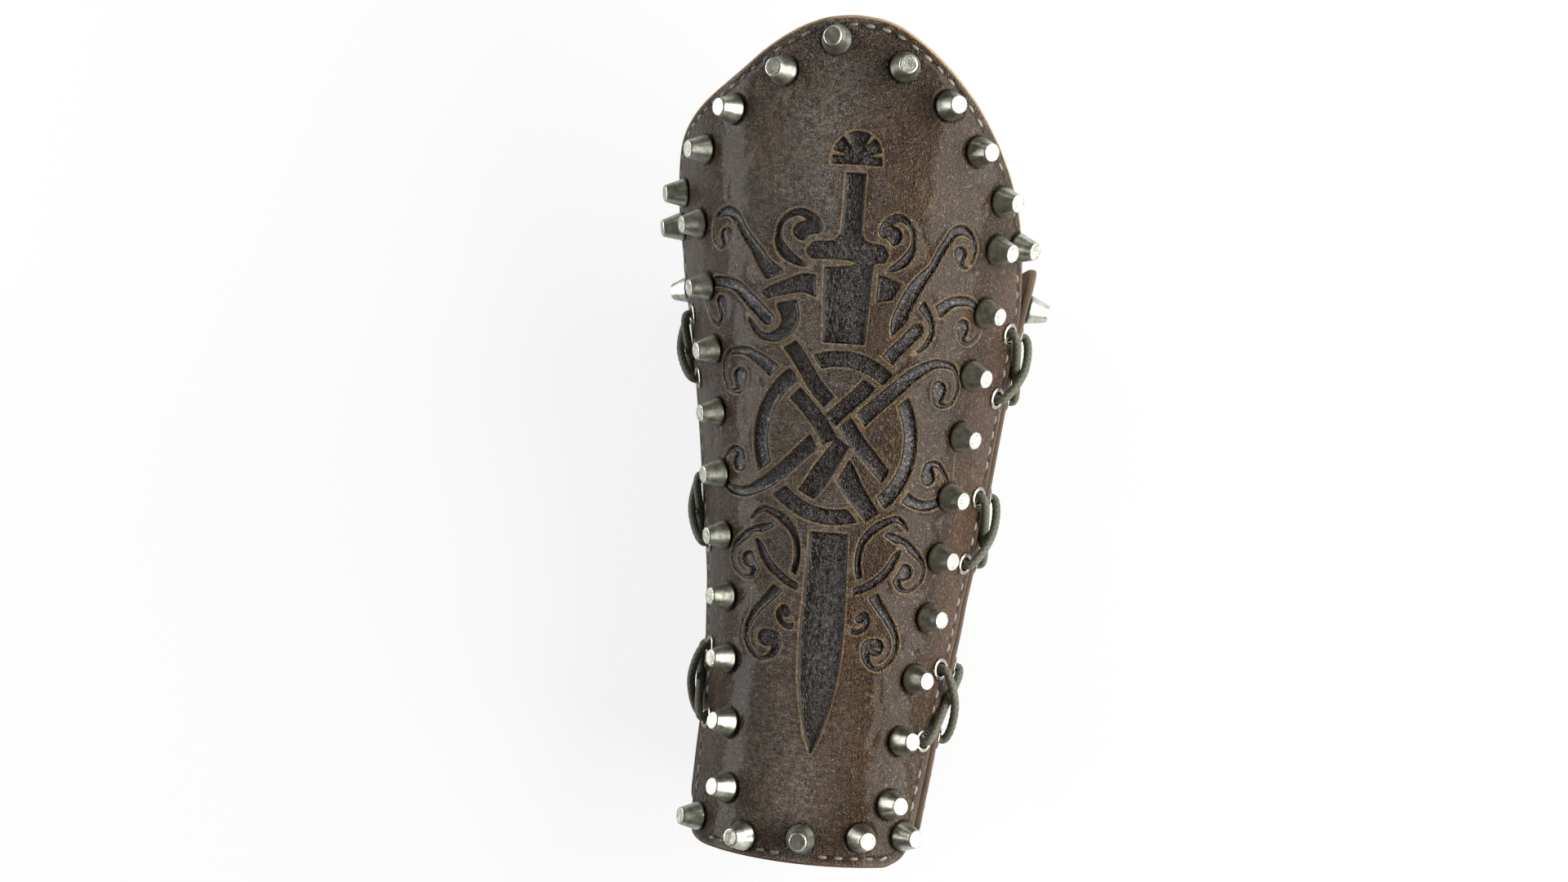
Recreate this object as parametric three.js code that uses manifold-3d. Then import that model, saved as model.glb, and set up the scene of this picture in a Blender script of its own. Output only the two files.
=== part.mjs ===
// Embossed leather arm bracer: two laced panels, cone studs, crimped eyelets and two laces.
// Units are millimetres. X is across the arm, Y runs from the wrist to the elbow, Z is up.
// The bracer lies on the flattened strip of its back panel, with the embossed panel up.
import * as THREE from 'three';
import { mergeVertices } from 'three/addons/utils/BufferGeometryUtils.js';
import Module from 'manifold-3d';

const wasm = await Module();
wasm.setup();
const { Manifold, Mesh: SolidMesh } = wasm;

// Driving dimensions.
const WALL = 3.0;
const PANEL_GAP = 2.6;
const BEND_ANGLE = 55;
const FLANK_CURVATURE = 0.5;
const STUD = { base: 9.8, tip: 5.6, height: 7.1, chamfer: 0.35, sides: 12, lift: 0.5 };
const EYELET = { flange: 8.6, bore: 5.0, proud: 0.6, edge: 5.2, sides: 8 };
const LACE = { diameter: 2.8, sides: 6, steps: 88, bulge: 3.2, under: 1.7 };
const RELIEF = { depth: 0.8, axisAngle: 4.8, strap: 6.4 };
const REST = { depthAtWrist: 16, slope: 0.06, stripAtWrist: 11, stripAtElbow: 15 };
const SLIVER = 0.04;
const BACK = { bottomY: 10, topY: 204, dip: 7, corner: 7 };
// The laces draw the back panel in, so it drops nearly straight from its edge: degrees below level.
const FALL = { atWrist: 92, atElbow: 98 };

// Front section: half width and half depth of the outer face at stations along the arm.
const SECTION = [
  { y: -5, a: 47.1, b: 47.9 },
  { y: 10, a: 47.1, b: 47.4 },
  { y: 25, a: 46.3, b: 45.6 },
  { y: 60, a: 43.6, b: 40.6 },
  { y: 85, a: 44.0, b: 39.6 },
  { y: 110, a: 46.7, b: 41.6 },
  { y: 140, a: 50.5, b: 47.0 },
  { y: 168, a: 54.9, b: 53.9 },
  { y: 190, a: 59.0, b: 59.4 },
  { y: 205, a: 61.8, b: 62.8 },
  { y: 220, a: 64.5, b: 65.8 },
  { y: 245, a: 67.6, b: 69.1 },
  { y: 280, a: 70.2, b: 71.5 },
];

// Side edges of the front panel: angle round the arm in degrees, left and right.
const EDGE = [
  { y: 0, left: -60, right: 50 },
  { y: 10, left: -60.5, right: 51.5 },
  { y: 20, left: -61.5, right: 54.5 },
  { y: 36, left: -64.5, right: 60.5 },
  { y: 52, left: -69.5, right: 68 },
  { y: 67, left: -75, right: 74.2 },
  { y: 82, left: -79.5, right: 79 },
  { y: 98, left: -82, right: 81.8 },
  { y: 115, left: -82.5, right: 82.2 },
  { y: 132, left: -82, right: 81.3 },
  { y: 158, left: -80.5, right: 79 },
  { y: 181, left: -78.5, right: 76.6 },
  { y: 192, left: -78.5, right: 76.6 },
  { y: 280, left: -78.5, right: 76.6 },
];

// Upper edge of the front panel: height along the arm at each angle, left to right.
const TONGUE = [
  { t: -78.5, y: 198 },
  { t: -77.3, y: 209 },
  { t: -74.5, y: 221 },
  { t: -71, y: 231 },
  { t: -67, y: 237.8 },
  { t: -61.4, y: 242.4 },
  { t: -54, y: 246.4 },
  { t: -46, y: 250.2 },
  { t: -36.5, y: 254.8 },
  { t: -30.2, y: 258.6 },
  { t: -23, y: 263.9 },
  { t: -16.5, y: 268.2 },
  { t: -9.5, y: 271.9 },
  { t: -3.3, y: 273.9 },
  { t: 2.7, y: 274.5 },
  { t: 9.2, y: 273.8 },
  { t: 14.2, y: 272.2 },
  { t: 18.2, y: 269.8 },
  { t: 26.3, y: 263.5 },
  { t: 35.2, y: 254.8 },
  { t: 42.6, y: 246.2 },
  { t: 50.4, y: 236 },
  { t: 57.1, y: 226.4 },
  { t: 64.5, y: 213.2 },
  { t: 68.3, y: 205 },
  { t: 71.3, y: 197.5 },
  { t: 74.3, y: 190 },
  { t: 76.6, y: 182 },
];

// Rounded wrist corners of the front panel: share of the half width, and the lift of the edge.
const HEM = [
  { u: -1, y: 7 },
  { u: -0.985, y: 3.6 },
  { u: -0.95, y: 1.6 },
  { u: -0.88, y: 0.6 },
  { u: -0.75, y: 0 },
  { u: 0.75, y: 0 },
  { u: 0.86, y: 1.4 },
  { u: 0.93, y: 3.2 },
  { u: 0.97, y: 5.6 },
  { u: 1, y: 9.5 },
];

// Studs that follow the tongue and the wrist edge: angle and height along the arm.
const EDGE_STUDS = [
  { name: 'tongue_top', t: -1.7, y: 266.4 },
  { name: 'tongue_left_1', t: -16.3, y: 256.7 },
  { name: 'tongue_left_2', t: -33.0, y: 245.4 },
  { name: 'tongue_left_3', t: -46.4, y: 233.5 },
  { name: 'tongue_left_4', t: -65.5, y: 221.2 },
  { name: 'tongue_left_5', t: -73.0, y: 210.5 },
  { name: 'tongue_right_1', t: 16.8, y: 259.1 },
  { name: 'tongue_right_2', t: 30.1, y: 248.8 },
  { name: 'tongue_right_3', t: 40.9, y: 235.9 },
  { name: 'tongue_right_4', t: 52.3, y: 221.9 },
  { name: 'tongue_right_5', t: 64.2, y: 208.5 },
  { name: 'wrist_left_corner', t: -51.0, y: 8.6 },
  { name: 'wrist_1', t: -22.3, y: 6.6 },
  { name: 'wrist_2', t: 2.7, y: 8.5 },
  { name: 'wrist_3', t: 26.8, y: 10.0 },
  { name: 'wrist_right_corner', t: 46.0, y: 10.5 },
];

// Ten studs in a column down each side: angle from the panel's middle, wrist to elbow.
const COLUMN = { start: 20.8, pitchLeft: 21.0, pitchRight: 20.6 };
const COLUMN_STUDS = [
  { left: -33.6, right: 38.7 },
  { left: -39.0, right: 43.1 },
  { left: -45.6, right: 48.7 },
  { left: -49.6, right: 53.6 },
  { left: -52.4, right: 54.8 },
  { left: -53.0, right: 54.9 },
  { left: -52.7, right: 55.3 },
  { left: -51.7, right: 54.7 },
  { left: -52.4, right: 55.0 },
  { left: -53.2, right: 54.3 },
];

// Eyelet heights: three lace crossings on each side, elbow to wrist.
const CROSSINGS = [
  { upper: 180.2, lower: 158.4, upperFrontOnTop: false },
  { upper: 124.2, lower: 101.2, upperFrontOnTop: false },
  { upper: 65.0, lower: 41.2, upperFrontOnTop: true },
];

// Colours are linear estimates for plain preview shading.
const LEATHER = new THREE.MeshStandardMaterial({ color: 0x4a3a2e, roughness: 0.5, metalness: 0 });
const PEWTER = new THREE.MeshStandardMaterial({ color: 0x8a8d80, roughness: 0.35, metalness: 1 });
const CORD = new THREE.MeshStandardMaterial({ color: 0x4b4e3e, roughness: 0.8, metalness: 0 });

const rad = THREE.MathUtils.degToRad;
const clamp = THREE.MathUtils.clamp;
const lerp = THREE.MathUtils.lerp;

// Monotone cubic reading of one column of a table.
function read(table, key, column, x) {
  const last = table.length - 1;
  const at = clamp(x, table[0][key], table[last][key]);
  let i = 0;
  while (i < last - 1 && table[i + 1][key] < at) i += 1;
  const slope = (k) => {
    const rise = (j) => (table[j + 1][column] - table[j][column]) / (table[j + 1][key] - table[j][key]);
    if (k === 0) return rise(0);
    if (k === last) return rise(last - 1);
    const before = rise(k - 1);
    const after = rise(k);
    return before * after <= 0 ? 0 : (2 * before * after) / (before + after);
  };
  const step = table[i + 1][key] - table[i][key];
  const s = (at - table[i][key]) / step;
  const p0 = table[i][column];
  const p1 = table[i + 1][column];
  const m0 = slope(i) * step;
  const m1 = slope(i + 1) * step;
  const s2 = s * s;
  const s3 = s2 * s;
  return (2 * s3 - 3 * s2 + 1) * p0 + (s3 - 2 * s2 + s) * m0 + (3 * s2 - 2 * s3) * p1 + (s3 - s2) * m1;
}

const halfWidth = (y) => read(SECTION, 'y', 'a', y);
const halfDepth = (y) => read(SECTION, 'y', 'b', y);
const meanRadius = (y) => (halfWidth(y) + halfDepth(y)) / 2;

// The face's heading turns with the angle, and at half the rate on the flanks.
function heading(t) {
  const bend = rad(BEND_ANGLE);
  const size = Math.abs(t);
  return size < bend ? t : Math.sign(t) * (bend + FLANK_CURVATURE * (size - bend));
}

// A point of the front panel at angle t in radians, sunk below its outer face by depth.
function frontPoint(t, y, depth = 0) {
  const a = halfWidth(y);
  const b = halfDepth(y);
  const bend = rad(BEND_ANGLE);
  const turn = heading(t);
  let x = Math.sin(t);
  let z = Math.cos(t);
  if (Math.abs(t) > bend) {
    const side = Math.sign(t);
    x = side * (Math.sin(bend) + (Math.sin(Math.abs(turn)) - Math.sin(bend)) / FLANK_CURVATURE);
    z = Math.cos(bend) + (Math.cos(turn) - Math.cos(bend)) / FLANK_CURVATURE;
  }
  const normal = new THREE.Vector2(Math.sin(turn) / a, Math.cos(turn) / b).normalize();
  return new THREE.Vector3(a * x - normal.x * depth, y, b * z - normal.y * depth);
}

// Start angle of the back panel on each side, one gap beyond the front panel's edge.
function backEdge(y, side) {
  const column = side < 0 ? 'left' : 'right';
  const gap = THREE.MathUtils.radToDeg(PANEL_GAP / meanRadius(y));
  return rad(read(EDGE, 'y', column, y) + side * gap);
}

const restDepth = (y) => REST.depthAtWrist + REST.slope * y;
const stripHalf = (y) => lerp(REST.stripAtWrist, REST.stripAtElbow, clamp(y / BACK.topY, 0, 1));

// A point on the back panel's outer section: u runs from -1 at the left edge to 1 at the right.
const FLAT_SHARE = 0.16;
function backCurve(u, y) {
  const side = u < 0 ? -1 : 1;
  const size = Math.abs(u);
  const strip = stripHalf(y);
  const floor = -restDepth(y);
  if (size <= FLAT_SHARE) return new THREE.Vector2((u / FLAT_SHARE) * strip, floor);
  const angle = backEdge(y, side);
  const start = frontPoint(angle, y);
  const turn = rad(lerp(FALL.atWrist, FALL.atElbow, clamp(y / BACK.topY, 0, 1)));
  const drop = start.z - floor;
  const reach = drop * 0.62;
  const w = (1 - size) / (1 - FLAT_SHARE);
  const p0 = [Math.abs(start.x), start.z];
  const p1 = [p0[0] + reach * Math.cos(turn), p0[1] - reach * Math.sin(turn)];
  const p2 = [strip + (p0[0] - strip) * 0.62, floor];
  const p3 = [strip, floor];
  const mix = (k) => (1 - w) ** 3 * p0[k] + 3 * (1 - w) ** 2 * w * p1[k] + 3 * (1 - w) * w * w * p2[k] + w ** 3 * p3[k];
  return new THREE.Vector2(side * mix(0), mix(1));
}

function backNormal(u, y) {
  const step = 0.002;
  const before = backCurve(Math.max(u - step, -1), y);
  const after = backCurve(Math.min(u + step, 1), y);
  const along = after.sub(before).normalize();
  return new THREE.Vector2(-along.y, along.x).negate();
}

// The flat strip keeps one normal, so its inner face is flat too.
function backPoint(u, y, depth = 0) {
  const p = backCurve(u, y);
  const n = Math.abs(u) <= FLAT_SHARE + 0.003 ? new THREE.Vector2(0, -1) : backNormal(u, y);
  return new THREE.Vector3(p.x - n.x * depth, y, p.y - n.y * depth);
}

// A closed shell between an outer and an inner grid of points.
function shell(columns, rows, pointAt) {
  const position = [];
  const index = [];
  const wide = columns + 1;
  const layer = wide * (rows + 1);
  for (const depth of [0, WALL]) {
    for (let r = 0; r <= rows; r += 1) {
      for (let c = 0; c <= columns; c += 1) position.push(...pointAt(c / columns, r / rows, depth).toArray());
    }
  }
  const quad = (p, q, r, s) => index.push(p, q, r, p, r, s);
  for (let r = 0; r < rows; r += 1) {
    for (let c = 0; c < columns; c += 1) {
      const p = r * wide + c;
      quad(p, p + 1, p + wide + 1, p + wide);
      quad(layer + p, layer + p + wide, layer + p + wide + 1, layer + p + 1);
    }
  }
  for (let c = 0; c < columns; c += 1) {
    const top = rows * wide + c;
    quad(c, layer + c, layer + c + 1, c + 1);
    quad(top, top + 1, layer + top + 1, layer + top);
  }
  for (let r = 0; r < rows; r += 1) {
    const left = r * wide;
    const right = left + columns;
    quad(left, left + wide, layer + left + wide, layer + left);
    quad(right, layer + right, layer + right + wide, right + wide);
  }
  const geometry = new THREE.BufferGeometry();
  geometry.setAttribute('position', new THREE.Float32BufferAttribute(position, 3));
  geometry.setIndex(index);
  return geometry;
}

function toSolid(geometry) {
  const bare = geometry.clone();
  bare.deleteAttribute('normal');
  bare.deleteAttribute('uv');
  const merged = mergeVertices(bare, 1e-4);
  const vertProperties = new Float32Array(merged.attributes.position.array);
  const triVerts = new Uint32Array(merged.index.array);
  return new Manifold(new SolidMesh({ numProp: 3, vertProperties, triVerts }));
}

function toGeometry(solid) {
  const mesh = solid.getMesh();
  const geometry = new THREE.BufferGeometry();
  geometry.setAttribute('position', new THREE.Float32BufferAttribute(mesh.vertProperties, 3));
  geometry.setIndex(new THREE.Uint32BufferAttribute(mesh.triVerts, 1));
  const flat = geometry.toNonIndexed();
  flat.computeVertexNormals();
  return flat;
}

// Frame on a face: place an object built along +Z at a point, pointing along the normal.
function placeOn(point, normal) {
  const turn = new THREE.Quaternion().setFromUnitVectors(new THREE.Vector3(0, 0, 1), normal);
  return new THREE.Matrix4().compose(point, turn, new THREE.Vector3(1, 1, 1));
}

function faceFrame(pointAt, across, y) {
  const point = pointAt(across, y);
  const step = 0.004;
  const u = pointAt(across + step, y).sub(pointAt(across - step, y));
  const v = pointAt(across, y + 1).sub(pointAt(across, y - 1));
  const normal = new THREE.Vector3().crossVectors(u, v).normalize();
  return { point, normal };
}

const frontFrame = (t, y) => faceFrame(frontPoint, t, y);
function backFrame(u, y) {
  const { point, normal } = faceFrame(backPoint, u, y);
  return { point, normal: normal.negate() };
}

// The flange of an eyelet stands proud of the outer face, and its bore goes through the wall.
function eyeletRing() {
  const outer = EYELET.flange / 2;
  const inner = EYELET.bore / 2;
  const top = EYELET.proud;
  const low = -WALL / 2;
  const profile = [
    new THREE.Vector2(inner, low),
    new THREE.Vector2(outer, low),
    new THREE.Vector2(outer, top),
    new THREE.Vector2(inner, top),
    new THREE.Vector2(inner, low),
  ];
  const lathe = new THREE.LatheGeometry(profile, EYELET.sides);
  return toSolid(lathe.rotateX(Math.PI / 2));
}

function eyeletBore() {
  const length = WALL + 4;
  const cut = new THREE.CylinderGeometry(EYELET.bore / 2, EYELET.bore / 2, length, EYELET.sides);
  return toSolid(cut.rotateX(Math.PI / 2).translate(0, 0, -WALL / 2));
}

function addEyelets(panel, frames) {
  let solid = panel;
  const ring = eyeletRing();
  const bore = eyeletBore();
  for (const { point, normal } of frames) {
    const place = placeOn(point, normal).elements;
    solid = solid.add(ring.transform(place)).subtract(bore.transform(place));
  }
  return solid;
}

// Motifs of the relief are drawn flat: u across from the sword's axis, v along the arm.
// Each motif is a strip between two sides with as many points on one as on the other.
const SWORD = {
  pommel: [[8.4, 226.6], [8.6, 229.4], [7.2, 234.2], [3.6, 237.8]],
  grip: [[4.2, 206.2], [3.8, 215.5], [4.1, 224.8]],
  guard: [[12.6, 196.8], [13.2, 200.0], [6.2, 202.4], [4.6, 204.6]],
  upperBlade: [[7.4, 171.2], [7.5, 183], [7.7, 195.2]],
  lowerBlade: [[0.4, 35.8], [5.6, 52], [8.2, 66], [8.4, 80], [7.8, 96], [7.9, 110.5]],
};
const RING = { centre: 140.8, outer: 28, halfOpening: 19 };

function motifs() {
  const list = Object.values(SWORD).map((side) => ({
    left: side.map(([u, v]) => [-u, v]),
    right: side,
  }));
  const { centre, outer, halfOpening } = RING;
  for (let quarter = 0; quarter < 4; quarter += 1) {
    const from = rad(quarter * 90 - 45 + halfOpening);
    const to = rad(quarter * 90 + 45 - halfOpening);
    const arc = (radius) => Array.from({ length: 6 }, (_, k) => {
      const angle = lerp(from, to, k / 5);
      return [radius * Math.cos(angle), centre + radius * Math.sin(angle)];
    });
    list.push({ left: arc(outer - RELIEF.strap), right: arc(outer) });
  }
  const half = RELIEF.strap / 2;
  const bar = (from, to, degrees) => {
    const angle = rad(degrees);
    const parts = Math.ceil((to - from) / 9);
    const line = (offset) => Array.from({ length: parts + 1 }, (_, k) => {
      const along = lerp(from, to, k / parts);
      return [
        along * Math.cos(angle) - offset * Math.sin(angle),
        centre + along * Math.sin(angle) + offset * Math.cos(angle),
      ];
    });
    list.push({ left: line(half), right: line(-half) });
  };
  bar(-34, 34, 45);
  bar(half + 1.2, 34, 135);
  bar(-34, -half - 1.2, 135);
  return list;
}

// A motif becomes a thin solid that follows the face and cuts the relief to its depth.
function motifCutter({ left, right }) {
  const rows = left.length;
  const position = [];
  for (const depth of [-1.2, RELIEF.depth]) {
    for (const side of [left, right]) {
      for (const [u, v] of side) {
        const t = rad(RELIEF.axisAngle) + u / meanRadius(v);
        position.push(...frontPoint(t, v, depth).toArray());
      }
    }
  }
  const index = [];
  const quad = (p, q, r, s) => index.push(p, q, r, p, r, s);
  const [topLeft, topRight, lowLeft, lowRight] = [0, rows, 2 * rows, 3 * rows];
  for (let k = 0; k < rows - 1; k += 1) {
    quad(topLeft + k, topRight + k, topRight + k + 1, topLeft + k + 1);
    quad(lowLeft + k, lowLeft + k + 1, lowRight + k + 1, lowRight + k);
    quad(topRight + k, lowRight + k, lowRight + k + 1, topRight + k + 1);
    quad(topLeft + k, topLeft + k + 1, lowLeft + k + 1, lowLeft + k);
  }
  const end = rows - 1;
  quad(topLeft, lowLeft, lowRight, topRight);
  quad(topLeft + end, topRight + end, lowRight + end, lowLeft + end);
  const geometry = new THREE.BufferGeometry();
  geometry.setAttribute('position', new THREE.Float32BufferAttribute(position, 3));
  geometry.setIndex(index);
  return toSolid(geometry);
}

// Spread of the front panel's columns, finer toward both edges.
const spread = (s) => Math.sin((s - 0.5) * Math.PI * 0.86) / Math.sin(0.43 * Math.PI);

function frontPanel() {
  const at = (across, along, depth) => {
    const u = spread(across);
    const low = read(HEM, 'u', 'y', u);
    const side = u < 0 ? 'left' : 'right';
    const wide = Math.abs(read(EDGE, 'y', side, 280));
    const high = read(TONGUE, 't', 'y', u * wide);
    const y = lerp(low, high, along);
    const t = rad(Math.abs(u) * read(EDGE, 'y', side, y));
    return frontPoint(t, y, depth);
  };
  let solid = toSolid(shell(20, 15, at));
  for (const motif of motifs()) solid = solid.subtract(motifCutter(motif));
  return addEyelets(solid, eyeletFrames('front')).simplify(SLIVER);
}

function backPanel() {
  const at = (across, along, depth) => {
    const u = 1 - across * 2;
    const size = Math.abs(u);
    const round = clamp((size - 0.9) / 0.1, 0, 1);
    const corner = BACK.corner * (1 - Math.sqrt(1 - round * round));
    const dip = BACK.dip * Math.cos((size * Math.PI) / 2) ** 2;
    const y = lerp(BACK.bottomY + corner, BACK.topY - dip - corner, along);
    return backPoint(u, y, depth);
  };
  const solid = toSolid(shell(26, 11, at));
  return addEyelets(solid, eyeletFrames('back')).simplify(SLIVER);
}

// Share of the back curve whose point lies a given distance in from the edge.
function backShare(y, side, distance) {
  let travelled = 0;
  let share = 1;
  let last = backCurve(side * share, y);
  while (travelled < distance) {
    share -= 0.002;
    const next = backCurve(side * share, y);
    travelled += next.distanceTo(last);
    last = next;
  }
  return side * share;
}

function eyeletAt(panel, side, y) {
  if (panel === 'back') return backFrame(backShare(y, side, EYELET.edge), y);
  const column = side < 0 ? 'left' : 'right';
  const t = rad(read(EDGE, 'y', column, y)) - (side * EYELET.edge) / meanRadius(y);
  return frontFrame(t, y);
}

function eyeletFrames(panel) {
  const frames = [];
  for (const side of [-1, 1]) {
    for (const { upper, lower } of CROSSINGS) {
      frames.push(eyeletAt(panel, side, upper), eyeletAt(panel, side, lower));
    }
  }
  return frames;
}

// One lace: out over each gap in an X, and along the inside from crossing to crossing.
function laceRoute(side) {
  const points = [];
  const above = ({ point, normal }, height) => point.clone().addScaledVector(normal, height);
  const outside = LACE.diameter / 2 + EYELET.proud + 0.5;
  const within = -(WALL + LACE.diameter / 2 + 0.7);
  const eye = (k, row, panel) => eyeletAt(panel, side, CROSSINGS[k][row]);
  const rise = (from, to) => {
    points.push(above(from, within), above(from, -WALL / 2), above(from, outside));
    points.push(null);
    points.push(above(to, outside), above(to, -WALL / 2), above(to, within));
  };
  const span = (k, row, fromPanel) => {
    const other = row === 'upper' ? 'lower' : 'upper';
    const toPanel = fromPanel === 'front' ? 'back' : 'front';
    const from = eye(k, row, fromPanel);
    const to = eye(k, other, toPanel);
    rise(from, to);
    const isUpperFront = (row === 'upper') === (fromPanel === 'front');
    const onTop = isUpperFront === CROSSINGS[k].upperFrontOnTop;
    const lift = onTop ? LACE.bulge + LACE.under : LACE.under;
    const out = from.normal.clone().add(to.normal).normalize();
    const middle = above(from, outside).add(above(to, outside)).multiplyScalar(0.5);
    points[points.indexOf(null)] = middle.addScaledVector(out, lift);
  };
  const inside = (from, to) => {
    const middle = above(from, within).add(above(to, within)).multiplyScalar(0.5);
    const out = from.normal.clone().add(to.normal).normalize();
    points.push(middle.addScaledVector(out, -0.9));
  };
  span(0, 'upper', 'front');
  inside(eye(0, 'lower', 'back'), eye(1, 'upper', 'back'));
  span(1, 'upper', 'back');
  inside(eye(1, 'lower', 'front'), eye(2, 'upper', 'front'));
  span(2, 'upper', 'front');
  inside(eye(2, 'lower', 'back'), eye(2, 'lower', 'front'));
  span(2, 'lower', 'front');
  inside(eye(2, 'upper', 'back'), eye(1, 'lower', 'back'));
  span(1, 'lower', 'back');
  inside(eye(1, 'upper', 'front'), eye(0, 'lower', 'front'));
  span(0, 'lower', 'front');
  inside(eye(0, 'upper', 'back'), eye(0, 'upper', 'front'));
  return points;
}

// A closed cord swept round a closed route, with no ends.
function closedCord(points) {
  const curve = new THREE.CatmullRomCurve3(points, true, 'centripetal');
  curve.arcLengthDivisions = 1200;
  const geometry = new THREE.TubeGeometry(curve, LACE.steps, LACE.diameter / 2, LACE.sides, true);
  geometry.deleteAttribute('normal');
  geometry.deleteAttribute('uv');
  return toGeometry(toSolid(geometry));
}

function studGeometry() {
  const { base, tip, height, chamfer, sides } = STUD;
  const profile = [
    new THREE.Vector2(0, 0),
    new THREE.Vector2(base / 2, 0),
    new THREE.Vector2(tip / 2 + 0.1, height - chamfer),
    new THREE.Vector2(tip / 2 - chamfer, height),
    new THREE.Vector2(0, height),
  ];
  return new THREE.LatheGeometry(profile, sides).rotateX(Math.PI / 2);
}

const bracer = new THREE.Group();
const assembly = new THREE.Group();
assembly.rotation.x = Math.atan(REST.slope);
bracer.add(assembly);

function addPiece(name, geometry, material) {
  const mesh = new THREE.Mesh(geometry, material);
  mesh.name = name;
  assembly.add(mesh);
  return mesh;
}

function addStud(name, { point, normal }) {
  const mesh = addPiece(`stud_${name}`, studGeometry(), PEWTER);
  mesh.position.copy(point).addScaledVector(normal, STUD.lift);
  mesh.quaternion.setFromUnitVectors(new THREE.Vector3(0, 0, 1), normal);
}

addPiece('front_panel', toGeometry(frontPanel()), LEATHER);
addPiece('back_panel', toGeometry(backPanel()), LEATHER);
for (const { name, t, y } of EDGE_STUDS) addStud(name, frontFrame(rad(t), y));
COLUMN_STUDS.forEach(({ left, right }, k) => {
  addStud(`column_left_${k + 1}`, frontFrame(rad(left), COLUMN.start + COLUMN.pitchLeft * k));
  addStud(`column_right_${k + 1}`, frontFrame(rad(right), COLUMN.start + COLUMN.pitchRight * k));
});
addStud('back_left', backFrame(backShare(190, -1, 5.5), 190));
addStud('back_right', backFrame(backShare(190, 1, 5.5), 190));
addPiece('lace_left', closedCord(laceRoute(-1)), CORD);
addPiece('lace_right', closedCord(laceRoute(1)), CORD);

// The finished piece stands with its lowest face at zero and its box centred on the origin.
bracer.updateMatrixWorld(true);
const box = new THREE.Box3().setFromObject(bracer, true);
const middle = box.getCenter(new THREE.Vector3());
bracer.position.set(-middle.x, -middle.y, -box.min.z);
bracer.updateMatrixWorld(true);

export default bracer;
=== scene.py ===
# %% [markdown]
# # An embossed leather arm bracer
# The real piece is two panels of thick leather laced round the forearm. The front panel carries
# a stamped sword, ring and scrolls, a row of cone studs and a stitched hem. This lesson dresses
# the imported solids: each soft or plain solid is replaced by a finished mesh in the same place.
# The frame is loaded first, because every piece below rides on it and may not outgrow it.

# %% Load the fixed frame
import math
import bmesh
import bpy
import numpy as np
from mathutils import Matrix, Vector
from mathutils.geometry import delaunay_2d_cdt
from mathutils.kdtree import KDTree


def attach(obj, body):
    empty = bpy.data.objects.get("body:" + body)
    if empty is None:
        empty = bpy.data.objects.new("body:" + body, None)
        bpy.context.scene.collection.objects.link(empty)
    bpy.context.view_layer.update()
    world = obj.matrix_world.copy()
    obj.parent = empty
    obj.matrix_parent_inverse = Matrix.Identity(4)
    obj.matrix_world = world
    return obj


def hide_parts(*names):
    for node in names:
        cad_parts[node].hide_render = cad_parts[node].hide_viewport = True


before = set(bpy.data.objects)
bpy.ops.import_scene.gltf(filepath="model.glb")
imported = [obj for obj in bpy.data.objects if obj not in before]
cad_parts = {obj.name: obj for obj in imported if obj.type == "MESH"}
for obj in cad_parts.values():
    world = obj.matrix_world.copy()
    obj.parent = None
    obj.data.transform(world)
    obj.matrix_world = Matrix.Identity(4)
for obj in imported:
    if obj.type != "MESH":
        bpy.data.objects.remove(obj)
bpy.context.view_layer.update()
scene = bpy.context.scene

# %% [markdown]
# ## Camera, floor and light
# The photograph looks down on the bracer from a little to its right, with a normal lens. The
# camera could be aimed by eye, but its place here was solved from the outline and the studs, so
# the render and the photograph can be laid over each other. The floor is a plain pale sheet.

# %% Aim the camera
MM = 0.001
CAMERA_PLACE = (0.1115, -0.0391898, 0.6828444)
CAMERA_TURN = (4.77707627, 11.10436366, 5.25949954)
LENS = 43.4625
SENSOR_WIDTH = 36.0


def aim_camera():
    lens = bpy.data.cameras.new("camera")
    lens.lens = LENS
    lens.sensor_width = SENSOR_WIDTH
    camera = bpy.data.objects.new("camera", lens)
    camera.location = CAMERA_PLACE
    camera.rotation_euler = [math.radians(a) for a in CAMERA_TURN]
    scene.collection.objects.link(camera)
    scene.camera = camera
    return camera


camera = aim_camera()
print("camera at", [round(c, 3) for c in camera.location], "lens", camera.data.lens)

# %% [markdown]
# A small helper writes node trees. Each call makes one node, sets its plain values and joins its
# inputs, so that the materials below read from top to bottom like a recipe.

# %% Helpers for shader and geometry nodes


def put(tree, kind, props=None, **inputs):
    """One node. Inputs are given as i0, i1 by place, or by name with spaces as underscores."""
    node = tree.nodes.new(kind)
    for key, value in (props or {}).items():
        setattr(node, key, value)
    for key, value in inputs.items():
        place = int(key[1:]) if key[0] == "i" and key[1:].isdigit() else key.replace("_", " ")
        socket = node.inputs[place]
        if isinstance(value, bpy.types.NodeSocket):
            tree.links.new(value, socket)
        else:
            socket.default_value = value
    return node


def calc(tree, operation, a, b=0.0, c=0.0, clamp=False):
    """One step of arithmetic; c is the third value of the steps that take three."""
    node = put(tree, "ShaderNodeMath", {"operation": operation, "use_clamp": clamp}, i0=a, i1=b)
    if operation in ("MULTIPLY_ADD", "SMOOTH_MIN", "SMOOTH_MAX"):
        if isinstance(c, bpy.types.NodeSocket):
            tree.links.new(c, node.inputs[2])
        else:
            node.inputs[2].default_value = c
    return node.outputs[0]


def blend(tree, factor, a, b, mode="MIX"):
    node = put(tree, "ShaderNodeMix", {"data_type": "RGBA", "blend_type": mode}, i0=factor, i6=a, i7=b)
    return node.outputs[2]


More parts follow.
